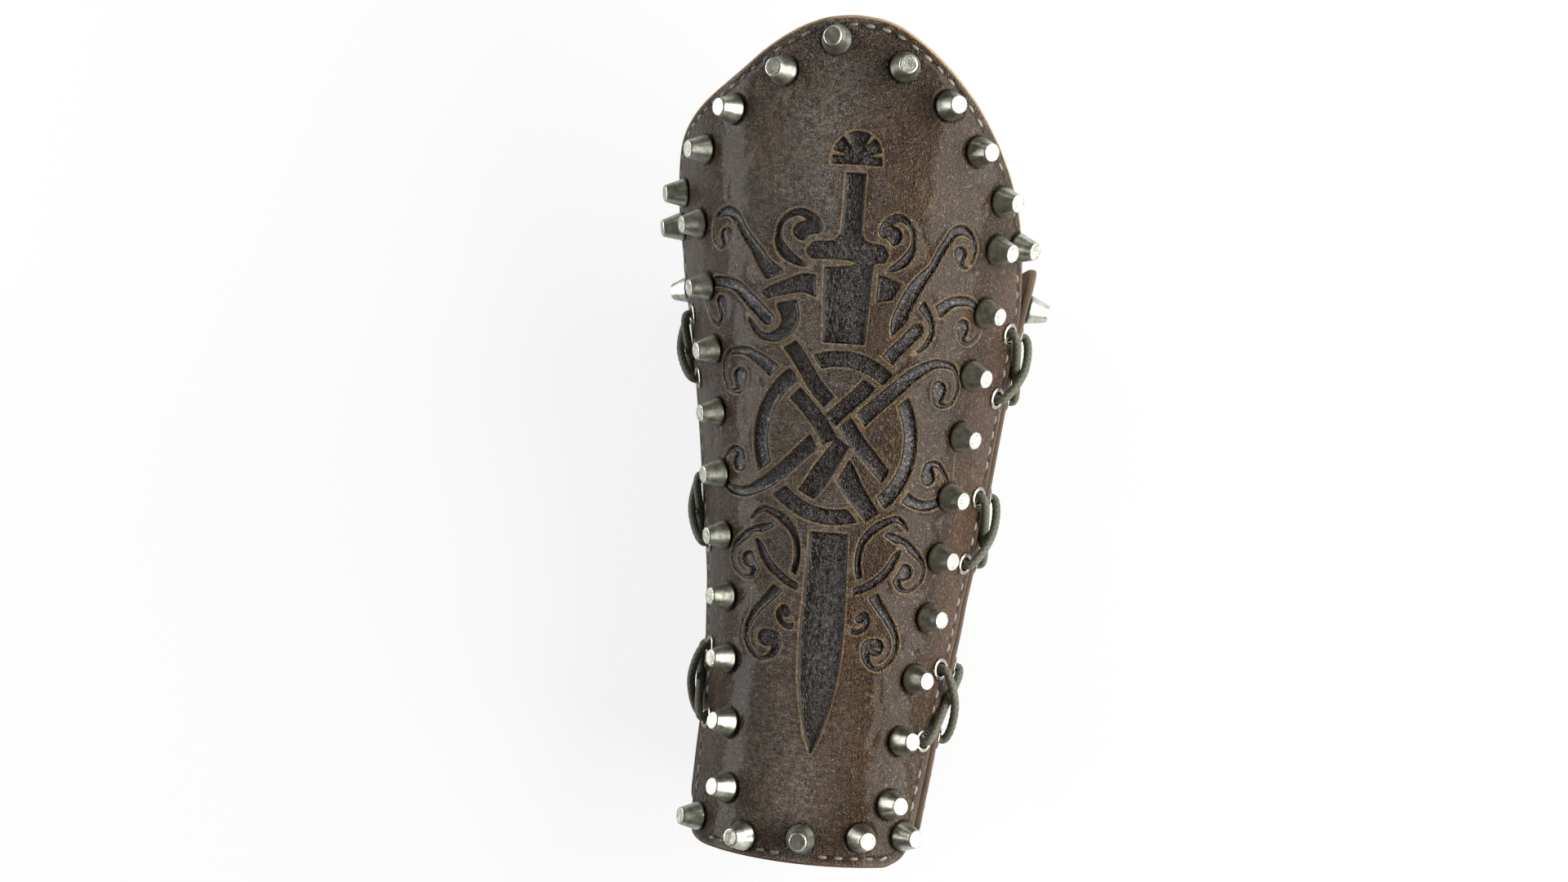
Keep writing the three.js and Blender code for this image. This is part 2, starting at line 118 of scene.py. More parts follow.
def ease(tree, value, low, high, start=0.0, end=1.0):
    """A smooth step of value from low to high."""
    props = {"interpolation_type": "SMOOTHSTEP"}
    node = put(tree, "ShaderNodeMapRange", props, i0=value, i1=low, i2=high, i3=start, i4=end)
    return node.outputs[0]


def noise(tree, vector, scale, detail=3.0, rough=0.5, warp=0.0):
    values = {"Vector": vector, "Scale": scale, "Detail": detail, "Roughness": rough, "Distortion": warp}
    return put(tree, "ShaderNodeTexNoise", None, **values).outputs[0]


def stretch(tree, vector, scale, turn=0.0):
    """The vector scaled by three numbers, and turned about its third axis."""
    node = put(tree, "ShaderNodeMapping", None, Vector=vector, Scale=scale)
    node.inputs["Rotation"].default_value = (0.0, 0.0, turn)
    return node.outputs[0]


def rgb(red, green, blue):
    """A colour given as it is seen on screen, as the linear colour that nodes work in."""
    seen = [channel / 255 for channel in (red, green, blue)]
    return [c / 12.92 if c <= 0.04045 else ((c + 0.055) / 1.055) ** 2.4 for c in seen] + [1.0]


def new_material(name):
    """A material with its node tree emptied down to one Principled shader."""
    material = bpy.data.materials.new(name)
    material.use_nodes = True
    tree = material.node_tree
    tree.nodes.clear()
    shader = put(tree, "ShaderNodeBsdfPrincipled")
    put(tree, "ShaderNodeOutputMaterial", None, Surface=shader.outputs[0])
    return material, tree, shader


print("mid brown on screen is", [round(c, 3) for c in rgb(70, 55, 45)[:3]], "in linear light")

# %% [markdown]
# The bracer lies on an even pale ground, with most of the light from the right. A curved sheet
# could be modelled, but a wide flat one that glows a little for the lens gives such a ground and
# keeps a soft shadow. One large lamp hangs at the right and a weaker one at the left.

# %% Lay the floor and hang the lights
FLOOR_HALF = 6.0
FLOOR_HEIGHT = -0.0002


def lay_floor():
    mesh = bpy.data.meshes.new("floor")
    signs = [(-1, -1), (1, -1), (1, 1), (-1, 1)]
    corners = [(FLOOR_HALF * x, FLOOR_HALF * y, FLOOR_HEIGHT) for x, y in signs]
    mesh.from_pydata(corners, [], [(0, 1, 2, 3)])
    floor = bpy.data.objects.new("floor", mesh)
    scene.collection.objects.link(floor)
    material, tree, shader = new_material("pale_paper")
    place = put(tree, "ShaderNodeTexCoord").outputs["Object"]
    tone = blend(tree, noise(tree, place, 3.0), rgb(104, 105, 107), rgb(108, 109, 110))
    tree.links.new(tone, shader.inputs["Base Color"])
    shader.inputs["Roughness"].default_value = 0.9
    shader.inputs["Specular IOR Level"].default_value = 0.1
    # The sheet glows evenly for the lens, and for shiny metal more towards its right.
    rays = put(tree, "ShaderNodeLightPath").outputs
    across = put(tree, "ShaderNodeSeparateXYZ", None, Vector=place).outputs["X"]
    mirror = calc(tree, "MULTIPLY", rays["Is Glossy Ray"], ease(tree, across, -0.1, 0.25, 0.5, 1.6))
    glow = calc(tree, "MAXIMUM", calc(tree, "MULTIPLY", rays["Is Camera Ray"], 0.83), mirror)
    shader.inputs["Emission Color"].default_value = (1.0, 1.0, 1.0, 1.0)
    tree.links.new(glow, shader.inputs["Emission Strength"])
    mesh.materials.append(material)
    return floor


def hang_light(name, place, target, size, power, tint=(1.0, 1.0, 1.0)):
    """A soft rectangular lamp that faces a point."""
    lamp = bpy.data.lights.new(name, "AREA")
    lamp.shape = "RECTANGLE"
    lamp.size, lamp.size_y = size
    lamp.energy = power
    lamp.color = tint
    holder = bpy.data.objects.new(name, lamp)
    holder.location = place
    aim = Vector(target) - Vector(place)
    holder.rotation_euler = aim.to_track_quat("-Z", "Y").to_euler()
    scene.collection.objects.link(holder)
    return holder


def light_sky(strength):
    world = bpy.data.worlds.new("studio")
    scene.world = world
    world.use_nodes = True
    back = world.node_tree.nodes["Background"]
    back.inputs[0].default_value = (1.0, 0.95, 0.88, 1.0)
    back.inputs[1].default_value = strength


lay_floor()
light_sky(0.16)
hang_light("right_softbox", (1.15, 0.05, 0.5), (0.0, 0.0, 0.05), (1.6, 0.9), 44.0, (1.0, 0.98, 0.94))
hang_light("left_softbox", (-1.1, 0.1, 0.28), (0.0, 0.0, 0.06), (1.5, 0.42), 15.0)
scene.view_settings.view_transform = "Standard"

# %% [markdown]
# ## The shape of the panels
# The bracer is a tapered tube: a round arch over the arm, flatter flanks, and a back that lies
# flat on the table. Its size is kept in short tables read by smooth curves, the same ones that
# the solids were made from. A point of the leather is then named by how far it lies round the
# arm and along it, in millimetres, as on the flat hide before it was bent.

# %% Tables and the curve that reads them
WALL = 3.0
SECTION = np.array([
    (-5, 47.1, 47.9), (10, 47.1, 47.4), (25, 46.3, 45.6), (60, 43.6, 40.6), (85, 44.0, 39.6),
    (110, 46.7, 41.6), (140, 50.5, 47.0), (168, 54.9, 53.9), (190, 59.0, 59.4), (205, 61.8, 62.8),
    (220, 64.5, 65.8), (245, 67.6, 69.1), (280, 70.2, 71.5),
])
EDGE = np.array([
    (0, -60, 50), (10, -60.5, 51.5), (20, -61.5, 54.5), (36, -64.5, 60.5), (52, -69.5, 68),
    (67, -75, 74.2), (82, -79.5, 79), (98, -82, 81.8), (115, -82.5, 82.2), (132, -82, 81.3),
    (158, -80.5, 79), (181, -78.5, 76.6), (192, -78.5, 76.6), (280, -78.5, 76.6),
])
TONGUE = np.array([
    (-78.5, 198), (-77.3, 209), (-74.5, 221), (-71, 231), (-67, 237.8), (-61.4, 242.4),
    (-54, 246.4), (-46, 250.2), (-36.5, 254.8), (-30.2, 258.6), (-23, 263.9), (-16.5, 268.2),
    (-9.5, 271.9), (-3.3, 273.9), (2.7, 274.5), (9.2, 273.8), (14.2, 272.2), (18.2, 269.8),
    (26.3, 263.5), (35.2, 254.8), (42.6, 246.2), (50.4, 236), (57.1, 226.4), (64.5, 213.2),
    (68.3, 205), (71.3, 197.5), (74.3, 190), (76.6, 182),
])
HEM = np.array([
    (-1, 7), (-0.985, 3.6), (-0.95, 1.6), (-0.88, 0.6), (-0.75, 0), (0.75, 0), (0.86, 1.4),
    (0.93, 3.2), (0.97, 5.6), (1, 9.5),
])


def read(table, column, at):
    """Monotone cubic curve through one column of a table."""
    x, y = table[:, 0], table[:, column]
    at = np.clip(np.asarray(at, float), x[0], x[-1])
    step = np.diff(x)
    rise = np.diff(y) / step
    slope = np.concatenate([rise[:1], np.zeros(len(x) - 2), rise[-1:]])
    before, after = rise[:-1], rise[1:]
    same = before * after > 0
    slope[1:-1][same] = (2 * before * after)[same] / (before + after)[same]
    i = np.clip(np.searchsorted(x, at, side="left") - 1, 0, len(x) - 2)
    s = (at - x[i]) / step[i]
    ends = (2 * s**3 - 3 * s**2 + 1) * y[i] + (3 * s**2 - 2 * s**3) * y[i + 1]
    return ends + ((s**3 - 2 * s**2 + s) * slope[i] + (s**3 - s**2) * slope[i + 1]) * step[i]


def mean_radius(y):
    return (read(SECTION, 1, y) + read(SECTION, 2, y)) / 2


print("mean radius at wrist, waist and elbow:", np.round(mean_radius([0, 75, 260]), 1))

# %% [markdown]
# The front is an arch whose flanks bend half as fast past a certain angle. The back could be an
# arc too, but the bracer rests on it, so it is a straight strip on the table and one curve up
# to each edge. Both faces are plain functions, so studs and seams can ask them for a place.

# %% Front and back faces in space
BEND = math.radians(55)
FLANK_CURVATURE = 0.5
PANEL_GAP = 2.6
BACK_BOTTOM, BACK_TOP = 10, 204
REST_DEPTH, REST_SLOPE = 16, 0.06
REST_TURN = math.atan(REST_SLOPE)
REST_SHIFT = np.array([0.978, -133.4569, 15.9713])


def heading(t):
    size = np.abs(t)
    return np.where(size < BEND, t, np.sign(t) * (BEND + FLANK_CURVATURE * (size - BEND)))


def front_point(t, y, depth=0.0):
    """A point of the front panel at angle t and height y, sunk below its outer face."""
    a, b = read(SECTION, 1, y), read(SECTION, 2, y)
    turn = heading(t)
    flank = np.abs(t) > BEND
    far = math.sin(BEND) + (np.sin(np.abs(turn)) - math.sin(BEND)) / FLANK_CURVATURE
    x = np.where(flank, np.sign(t) * far, np.sin(t))
    low = math.cos(BEND) + (np.cos(turn) - math.cos(BEND)) / FLANK_CURVATURE
    z = np.where(flank, low, np.cos(t))
    nx, nz = np.sin(turn) / a, np.cos(turn) / b
    size = np.hypot(nx, nz)
    y = np.broadcast_to(y, np.shape(x))
    return np.stack([a * x - nx / size * depth, y, b * z - nz / size * depth], -1)


def to_world(points):
    """Millimetres of the pattern to metres of the frame, where the bracer lies on its back."""
    x, y, z = points[..., 0], points[..., 1], points[..., 2]
    c, s = math.cos(REST_TURN), math.sin(REST_TURN)
    turned = np.stack([x, c * y - s * z, s * y + c * z], -1)
    return (turned + REST_SHIFT) * MM


def back_edge(y, side):
    gap = np.degrees(PANEL_GAP / mean_radius(y))
    return np.radians(read(EDGE, 1 if side < 0 else 2, y) + side * gap)


def back_curve(u, y, side):
    """Section of the back panel: a flat strip, then one smooth curve up to the edge."""
    u, y = np.broadcast_arrays(np.asarray(u, float), np.asarray(y, float))
    share = np.clip(y / BACK_TOP, 0, 1)
    strip = 11 + 4 * share
    floor = -(REST_DEPTH + REST_SLOPE * y)
    angle = back_edge(y, side)
    start = front_point(angle, y)
    turn = np.radians(92 + 6 * share)
    reach = (start[..., 2] - floor) * 0.62
    w = (1 - np.abs(u)) / 0.84
    x0, z0 = np.abs(start[..., 0]), start[..., 2]
    x1, z1 = x0 + reach * np.cos(turn), z0 - reach * np.sin(turn)
    x2 = strip + (x0 - strip) * 0.62
    k = [(1 - w) ** 3, 3 * (1 - w) ** 2 * w, 3 * (1 - w) * w * w, w**3]
    x = k[0] * x0 + k[1] * x1 + k[2] * x2 + k[3] * strip
    z = k[0] * z0 + k[1] * z1 + (k[2] + k[3]) * floor
    flat = np.abs(u) <= 0.16
    return np.where(flat, np.abs(u) / 0.16 * strip, x) * side, np.where(flat, floor, z)


def back_point(u, y, depth=0.0):
    """A point of the back panel: u runs from -1 at the left edge to 1 at the right."""
    u, y = np.broadcast_arrays(np.asarray(u, float), np.asarray(y, float))
    side = np.where(u < 0, -1.0, 1.0)
    left, right = back_curve(u, y, -1), back_curve(u, y, 1)
    x, z = np.where(side < 0, left[0], right[0]), np.where(side < 0, left[1], right[1])
    lo, hi = np.clip(np.abs(u) - 0.002, 0, 1), np.clip(np.abs(u) + 0.002, 0, 1)
    tangent = []
    for at in (lo, hi):
        pair = back_curve(at, y, -1), back_curve(at, y, 1)
        tangent.append([np.where(side < 0, pair[0][k], pair[1][k]) for k in (0, 1)])
    dx, dz = tangent[1][0] - tangent[0][0], tangent[1][1] - tangent[0][1]
    size = np.hypot(dx, dz) + 1e-12
    flat = np.abs(u) <= 0.163
    nx = np.where(flat, 0.0, side * dz / size)
    nz = np.where(flat, -1.0, -side * dx / size)
    return np.stack([x - nx * depth, y, z - nz * depth], -1)


crown = to_world(front_point(np.array([0.0]), np.array([260.0])))[0]

# %% [markdown]
# ## The stamped ornament
# The maker pressed the design into damp leather, so every shape is a sunk floor with a raised,
# worn lip. It could be modelled by cutting the mesh, but a distance field is kinder: each shape
# says how far away a point is, and the leather reads its depth from that. The design is a sword
# over a ring and a weave of four bands, with scrolls on both sides. Its bands are drawn from
# tables of places and widths that were measured along each band on the photograph.

# %% A sheet of distances, and strokes and plates drawn on it
CELL = 0.25
SPAN_U = (-62.0, 62.0)
SPAN_V = (28.0, 246.0)
GRID_U = np.arange(SPAN_U[0], SPAN_U[1] + CELL / 2, CELL)
GRID_V = np.arange(SPAN_V[0], SPAN_V[1] + CELL / 2, CELL)
FAR = 40.0


def blank():
    return np.full((len(GRID_V), len(GRID_U)), FAR)


def window(points, margin):
    low, high = points.min(0) - margin, points.max(0) + margin
    rows = slice(*np.searchsorted(GRID_V, (low[1], high[1])))
    columns = slice(*np.searchsorted(GRID_U, (low[0], high[0])))
    return rows, columns


def smooth_path(points, parts=8):
    """A smooth curve through points whose last value may be a width."""
    p = np.array(points, float)
    ends = np.vstack([2 * p[0] - p[1], p, 2 * p[-1] - p[-2]])
    out = []
    for p0, p1, p2, p3 in zip(ends, ends[1:], ends[2:], ends[3:]):
        for s in np.arange(parts) / parts:
            a = 2 * p1 + (p2 - p0) * s + (2 * p0 - 5 * p1 + 4 * p2 - p3) * s**2
            out.append(0.5 * (a + (3 * p1 - p0 - 3 * p2 + p3) * s**3))
    out.append(p[-1])
    return np.array(out)


def stroke(points, parts=6):
    """Distance to a band whose width changes along its length."""
    path = smooth_path(points, parts)
    path[:, 2] = np.maximum(path[:, 2], 0.3)
    field = blank()
    for (u0, v0, w0), (u1, v1, w1) in zip(path, path[1:]):
        rows, columns = window(np.array([(u0, v0), (u1, v1)]), 8.5)
        u, v = np.meshgrid(GRID_U[columns], GRID_V[rows])
        du, dv = u1 - u0, v1 - v0
        h = np.clip(((u - u0) * du + (v - v0) * dv) / (du * du + dv * dv + 1e-9), 0, 1)
        gap = np.hypot(u - u0 - h * du, v - v0 - h * dv) - (w0 + (w1 - w0) * h) / 2
        field[rows, columns] = np.minimum(field[rows, columns], gap)
    return field


def plate(corners):
    """Distance to a flat shape with straight sides."""
    c = np.array(corners, float)
    rows, columns = window(c, 8.5)
    u, v = np.meshgrid(GRID_U[columns], GRID_V[rows])
    near = np.full(u.shape, FAR)
    inside = np.zeros(u.shape, bool)
    for (u0, v0), (u1, v1) in zip(c, np.roll(c, -1, 0)):
        du, dv = u1 - u0, v1 - v0
        h = np.clip(((u - u0) * du + (v - v0) * dv) / (du * du + dv * dv + 1e-9), 0, 1)
        near = np.minimum(near, np.hypot(u - u0 - h * du, v - v0 - h * dv))
        crosses = (v0 > v) != (v1 > v)
        inside ^= crosses & (u < u0 + (v - v0) / (dv if dv else 1e-9) * du)
    field = blank()
    field[rows, columns] = np.where(inside, -near, near)
    return field


def mirrored(field):
    return field[:, ::-1]


RIDGE = 1.9


def under(field, *covers, where=None):
    """The part of a band that shows beside others lying over it, with a ridge between."""
    for cover in covers:
        cut = RIDGE - cover
        if where is not None:
            cut = np.where(where, cut, -FAR)
        field = np.maximum(field, cut)
    return field


print("sheet of distances:", blank().shape, "cells of", CELL, "mm")

# %% [markdown]
# Each scroll is one band that ends in a curl. Six of them are on both sides and are drawn once,
# for the right, and mirrored. The upper left cluster differs, so it has tables of its own, also
# written as if on the right. Where two bands meet, one is cut back beside the other.

# %% Tables of the scrolls, and how they lie over each other
# Each row is a place on the band's middle line (across, along) and the band's width there.
TALL_CURL = [
    (27.5, 197.5, 3), (30.1, 202.7, 3.1), (32.6, 206.8, 3.1), (34.4, 209.4, 3.4), (37.4, 210.7, 3.5),
    (41, 209.4, 2.4), (43.2, 205.8, 1.6), (42.6, 201.5, 1.2), (40, 198.9, 1.1), (37.8, 200.3, 2.4),
    (37.6, 203.1, 5.2),
]
TALL_STEM = [(15.7, 174.3, 1), (17.4, 179.3, 5), (19.6, 185.4, 4.9), (22.2, 190.3, 4.9), (24.8, 194, 4.2)]
GUARD_SCROLL = [
    (11.3, 195.3, 0.8), (14.2, 196, 2.2), (17.8, 198.5, 3.4), (19.9, 201.6, 2.8), (20.5, 204.6, 1.8),
    (19.8, 208.9, 1.8), (17, 211.7, 2.4), (14.2, 212, 2.8), (11.6, 210.2, 3.2), (10.7, 207.5, 4),
    (13.4, 206.3, 6.6),
]
SIDE_LOOP = [
    (25.1, 185.3, 3.6), (27.5, 182.6, 3), (29, 179.9, 2.3), (29.1, 176.3, 2.4), (27.7, 173.2, 2),
    (25.5, 171, 1.3), (22.5, 169.5, 0.5),
]
SIDE_SCROLL = [
    (31, 183.9, 4.5), (35.6, 187.3, 3.6), (40.6, 188.4, 3.3), (44.9, 187.7, 2.8), (48.2, 184.5, 2),
    (49, 181, 1.8), (47.6, 177.3, 1.6), (44, 174.9, 1.6), (41.3, 176, 2.4), (41.3, 179.9, 5.8),
]
HOOK = [
    (10.5, 94.8, 2.4), (9.7, 98.8, 2.2), (9.8, 102.9, 2.2), (10.7, 106.7, 2.4), (12.6, 109.7, 2.8),
    (15.3, 112.4, 3), (18.3, 114.3, 2.6), (21.4, 115.2, 2.4), (23.6, 113.8, 2), (25.3, 111.7, 1.2),
]
SICKLE = [
    (8.4, 89.9, 2.6), (12.5, 91.6, 2.9), (16.2, 94.3, 3), (19.4, 97.8, 3), (21.7, 102.2, 2.6),
    (23, 104.4, 1.6),
]
LOW_SCROLL = [
    (18.5, 110, 2.2), (22.2, 108.4, 3.2), (26.1, 106.4, 3.2), (29.2, 104, 2.8), (31.9, 101.4, 2),
    (33, 98.3, 1.7), (32.1, 95.1, 1.5), (29.4, 92.5, 1.5), (26.6, 91.4, 1.6), (23.8, 92.6, 2.4),
    (23, 96, 3.6), (25.6, 97.7, 5.8),
]
TIP_SCROLL = [
    (15.1, 89.7, 4), (18.1, 85.4, 3.4), (21.6, 80.9, 3.1), (24.3, 76, 2.4), (24.9, 72.3, 2.1),
    (24, 68.9, 1.9), (21.6, 66.2, 1.8), (18.8, 65, 1.8), (16, 66.4, 2.2), (14.6, 69.5, 3),
    (15.2, 72.5, 4), (17.6, 72.2, 6.2),
]
CURL = [
    (9, 77.2, 2.2), (11.2, 76.7, 2), (13.6, 78.2, 2), (14.3, 80.7, 2.2), (13.1, 82.8, 2.4),
    (11.8, 81.2, 3.2),
]
LEFT_STEM = [(21.3, 192.1, 6), (24, 195.3, 4.6), (26.4, 199.5, 3.8)]
LEFT_BAND = [(8.2, 188.4, 6.8), (12.5, 189.8, 6.4), (17.4, 188.4, 4.8), (22, 186.7, 3.9), (24.1, 185.5, 3)]
LEFT_CRESCENT = [
    (17.8, 183.4, 6), (17.5, 179.2, 6.6), (18.2, 175.9, 6), (20.5, 173.1, 4.8), (23.4, 171.9, 3),
    (26.8, 172.9, 2.4), (29.5, 176.7, 1.8), (30.3, 179, 0.6),
]
LEFT_SCROLL = [
    (23.9, 178.1, 4.8), (29.2, 183.9, 4.6), (33.3, 188.1, 4.2), (38.3, 189.7, 3.8), (42.7, 190, 3.4),
    (48.5, 188, 2.4), (50, 184, 2), (48, 178.5, 1.8), (43.5, 176, 1.8), (40.9, 178.5, 3), (40.9, 183.1, 5.4),
]


def raised(points, rise):
    """The same band, further along by the rise."""
    return [(u, v + rise, w) for u, v, w in points]


def draw_shared(guard, blade):
    """Scrolls that both sides have: by the guard, under the ring and at the tip."""
    hook, sickle = stroke(HOOK), stroke(SICKLE)
    parts = [
        under(stroke(GUARD_SCROLL), guard), under(hook, sickle, blade), under(sickle, blade),
        under(stroke(LOW_SCROLL), hook, sickle), under(stroke(TIP_SCROLL), sickle, blade),
        under(stroke(CURL), blade),
    ]
    return np.minimum.reduce(parts), hook


def draw_right(arm_band, blade, guard):
    tall, loop = stroke(TALL_STEM + TALL_CURL), stroke(SIDE_LOOP)
    wing = plate([(8.9, 184.9), (15.5, 186), (18, 191.6), (9.7, 194.2)])
    parts = [
        under(tall, arm_band, guard), under(wing, tall, blade), under(loop, tall, arm_band),
        under(stroke(SIDE_SCROLL), loop, tall),
    ]
    return np.minimum.reduce(parts)


def draw_left(blade, guard):
    """The left side's upper cluster, drawn as if on the right and mirrored afterwards."""
    tall = stroke(LEFT_STEM + raised(TALL_CURL[1:], 1.9))
    band, crescent, curl = stroke(LEFT_BAND), stroke(LEFT_CRESCENT), stroke(LEFT_SCROLL)
    parts = [under(tall, band, guard), under(band, curl, blade), under(crescent, curl, band), curl]
    return np.minimum.reduce(parts), crescent


shared_scrolls = (GUARD_SCROLL, HOOK, SICKLE, LOW_SCROLL, TIP_SCROLL, CURL)
print("rows of the scrolls on both sides:", sum(len(scroll) for scroll in shared_scrolls))

# %% [markdown]
# The sword is three plates, and two more only mark where it covers the bands. The four bands are
# two strokes and their mirror images, one of which starts differently on the left. At each
# crossing one is cut back beside the other, so that they seem to pass over and under.

# %% Sword, ring and woven bands


def draw_pommel():
    """A fan of three lobes over a bar, parted by four narrow wedges."""
    fan = [(8.1 * math.cos(a), 230 + 8.3 * math.sin(a)) for a in np.linspace(0, math.pi, 17)]
    fan = plate([(8.3, 227.4), *fan, (-8.3, 227.4)])
    for angle, reach in ((9, 4.2), (57, 4.4), (123, 4.4), (171, 4.2)):
        a = math.radians(angle)
        tip = np.array((reach * math.cos(a), 229.9 + reach * math.sin(a)))
        out = np.array((math.cos(a), math.sin(a)))
        across = np.array((-out[1], out[0]))
        end = tip + out * 8
        fan = np.maximum(fan, -plate([tip, end + across, end - across]) + 0.1)
    return fan


def draw_sword():
    half = [(3.4, 225.2), (3.3, 216), (3.5, 207.5), (3.9, 205.6), (4.8, 204.3), (6.2, 203.7), (10.9, 203.3),
            (12.9, 200.4), (11.5, 197.3), (8.9, 197.1), (7.9, 196.4), (7.5, 184), (6.9, 171)]
    hilt = plate(half + [(-u, v) for u, v in reversed(half)])
    sliver = [
        (-13.5, 197.2), (-6, 197.5), (0.6, 197.4), (1.5, 196.8), (0, 196.1), (-4, 195.7),
        (-7.4, 195.5), (-13.5, 195.6),
    ]
    hilt = np.maximum(hilt, 0.1 - plate(sliver))
    low = [(6.1, 109.2), (6.7, 90), (7.05, 80), (7, 70), (6.4, 60), (5, 51), (2.5, 41), (0.2, 35.8)]
    blade = plate(low + [(-u, v) for u, v in reversed(low)])
    guard = plate([(5.6, 204.2), (10.9, 203.3), (12.9, 200.4), (11.5, 197.3), (5, 196.4)])
    upper = plate([(7.9, 196.4), (7.5, 184), (6.9, 171), (0, 171), (0, 196)])
    return hilt, blade, guard, upper


RISING = [
    (-13.7, 114.6, 5.3), (-11, 118, 5.8), (-8.3, 121.5, 6.4), (-6.3, 124.2, 6.7), (-4.2, 128, 7),
    (-1.4, 133.2, 6.3), (0.8, 136.9, 5.6), (4, 142.6, 5.2), (7.3, 146.9, 5.1), (12.4, 152.3, 5.1),
    (18, 157.7, 5), (23, 162.4, 4.6), (27.6, 165.4, 3.9), (32, 167.3, 3.1), (38.1, 166.9, 2.5),
    (40.6, 163.8, 1.6), (41, 159.5, 1.4), (39.6, 156, 1.3), (37.2, 154, 1.4), (33.3, 154.6, 3),
    (33.5, 158.9, 6.2),
]
FALLING = [
    (24.1, 177.5, 4.6), (20, 172.9, 4.6), (15.7, 168.2, 4.7), (8.6, 157.9, 5.1), (3.8, 152.6, 5.1),
    (-1.3, 147.2, 5.2), (-6.5, 139.8, 5.4), (-11.3, 134.6, 5.2), (-15.7, 129.6, 4.8), (-19.2, 126, 4.8),
    (-22.9, 123.1, 4.6), (-27, 120.9, 3.9), (-31.1, 120.3, 3.6), (-35.9, 121.7, 3.3), (-39.8, 126, 2.6),
    (-38.6, 130.6, 2.2), (-35, 134.3, 2.4), (-31.6, 133.6, 3.2), (-31.6, 129.8, 5.8),
]
CROSSING_SPOTS = {
    "top": (0, 148.5), "right": (4.2, 143), "bottom": (0, 135.6), "left": (-4.2, 143),
    "q_high": (12.5, 162.6), "p_high": (17.6, 158), "r_low": (20.4, 126.2), "s_low": (11.6, 117.7),
    "r_high": (-12.5, 162.6), "s_high": (-17.6, 158), "q_low": (-20.4, 126.2), "p_low": (-11.6, 117.7),
}


def draw_weave(hook, crescent):
    """Two bands and their mirror images, over and under each other and the ring by turns."""
    p, q = stroke(RISING), stroke(FALLING)
    s = mirrored(p)
    r = under(mirrored(stroke([(19.5, 172.4, 4.6)] + FALLING[2:])), mirrored(crescent))
    angles = np.linspace(0, 2 * math.pi, 73)
    ring = [(24.2 * math.cos(a), 140.25 + 26 * math.sin(a), 4.9 + 0.5 * math.sin(a) ** 2) for a in angles]
    ring = stroke(ring, 2)
    u, v = np.meshgrid(GRID_U, GRID_V)
    nearest = np.argmin([np.hypot(u - a, v - b) for a, b in CROSSING_SPOTS.values()], 0)
    at = {name: nearest == k for k, name in enumerate(CROSSING_SPOTS)}
    shown_q = under(under(q, s, where=at["left"]), ring, where=at["q_high"])
    shown_r = under(under(r, q, where=at["top"]), ring, where=at["r_low"])
    shown_p = under(under(p, r, where=at["right"]), ring, where=at["p_low"])
    shown_s = under(under(s, p, where=at["bottom"]), ring, where=at["s_high"])
    shown_p, shown_s = under(shown_p, mirrored(hook)), under(shown_s, hook)
    shown_ring = ring
    for band, spot in ((p, "p_high"), (s, "s_low"), (q, "q_low"), (r, "r_high")):
        shown_ring = under(shown_ring, band, where=at[spot])
    return np.minimum.reduce([shown_p, shown_q, shown_r, shown_s, shown_ring]), q


hilt, low_blade, guard, upper_blade = draw_sword()
shared, hook_band = draw_shared(guard, low_blade)
left_cluster, crescent_band = draw_left(upper_blade, guard)
weave, arm_band = draw_weave(hook_band, crescent_band)
right_cluster = draw_right(arm_band, upper_blade, guard)
relief = np.minimum.reduce([
    hilt, low_blade, draw_pommel(), weave, shared, mirrored(shared), right_cluster, mirrored(left_cluster)])
print("sunk area of the design:", round(float((relief < 0).sum()) * CELL * CELL / 100, 1), "cm2")

# %% [markdown]
# The design leans a little on the hide, as the photograph shows, and its left side is stretched
# outwards, so a helper turns a place on the flat hide into a place on the drawing. The depth
# across an edge is a small moulded curve: floor, steep wall, raised lip, and a soft fall back.

# %% Reading the design from the hide
AXIS_ANGLE = math.radians(4.8)
FLOOR_DEPTH = 0.85


def step(x, low, high):
    x = np.clip((x - low) / (high - low), 0, 1)
    return x * x * (3 - 2 * x)


def lean(v):
    return -1.2 + 0.0215 * np.clip(v - 110, 0, None)


def left_spread(a, v):
    """How much further out the left side's shapes lie, for a distance a from the axis."""
    high = step(v, 165, 200)
    return 2.2 * high * step(a, 6, 14) + np.maximum(0, a - 14) * (0.21 + 0.115 * high)


def design_place(s, y):
    u = s - AXIS_ANGLE * mean_radius(y) - lean(y)
    out = np.clip(-u, 0, None)
    a = out
    for _ in range(16):
        a = out - left_spread(a, y)
    return np.where(u < 0, -a, u), y


def hide_place(u, v):
    a = np.clip(-u, 0, None)
    return np.where(u < 0, u - left_spread(a, v), u) + AXIS_ANGLE * mean_radius(v) + lean(v), v


def sample(field, u, v):
    """The field between its cells, or far away outside the sheet."""
    c = (np.asarray(u) - SPAN_U[0]) / CELL
    r = (np.asarray(v) - SPAN_V[0]) / CELL
    inside = (c >= 0) & (c < field.shape[1] - 1) & (r >= 0) & (r < field.shape[0] - 1)
    c0 = np.clip(c, 0, field.shape[1] - 2).astype(int)
    r0 = np.clip(r, 0, field.shape[0] - 2).astype(int)
    fc, fr = np.clip(c - c0, 0, 1), np.clip(r - r0, 0, 1)
    low = field[r0, c0] * (1 - fc) + field[r0, c0 + 1] * fc
    high = field[r0 + 1, c0] * (1 - fc) + field[r0 + 1, c0 + 1] * fc
    return np.where(inside, low * (1 - fr) + high * fr, FAR)


def stamped_depth(distance):
    """Depth below the plain face: positive is sunk, negative is the raised lip."""
    wall = FLOOR_DEPTH * (1 - step(distance, -0.8, 0.1))
    lip = 0.22 * step(distance, -0.3, 0.25) * (1 - step(distance, 0.45, 1.35))
    return wall - lip


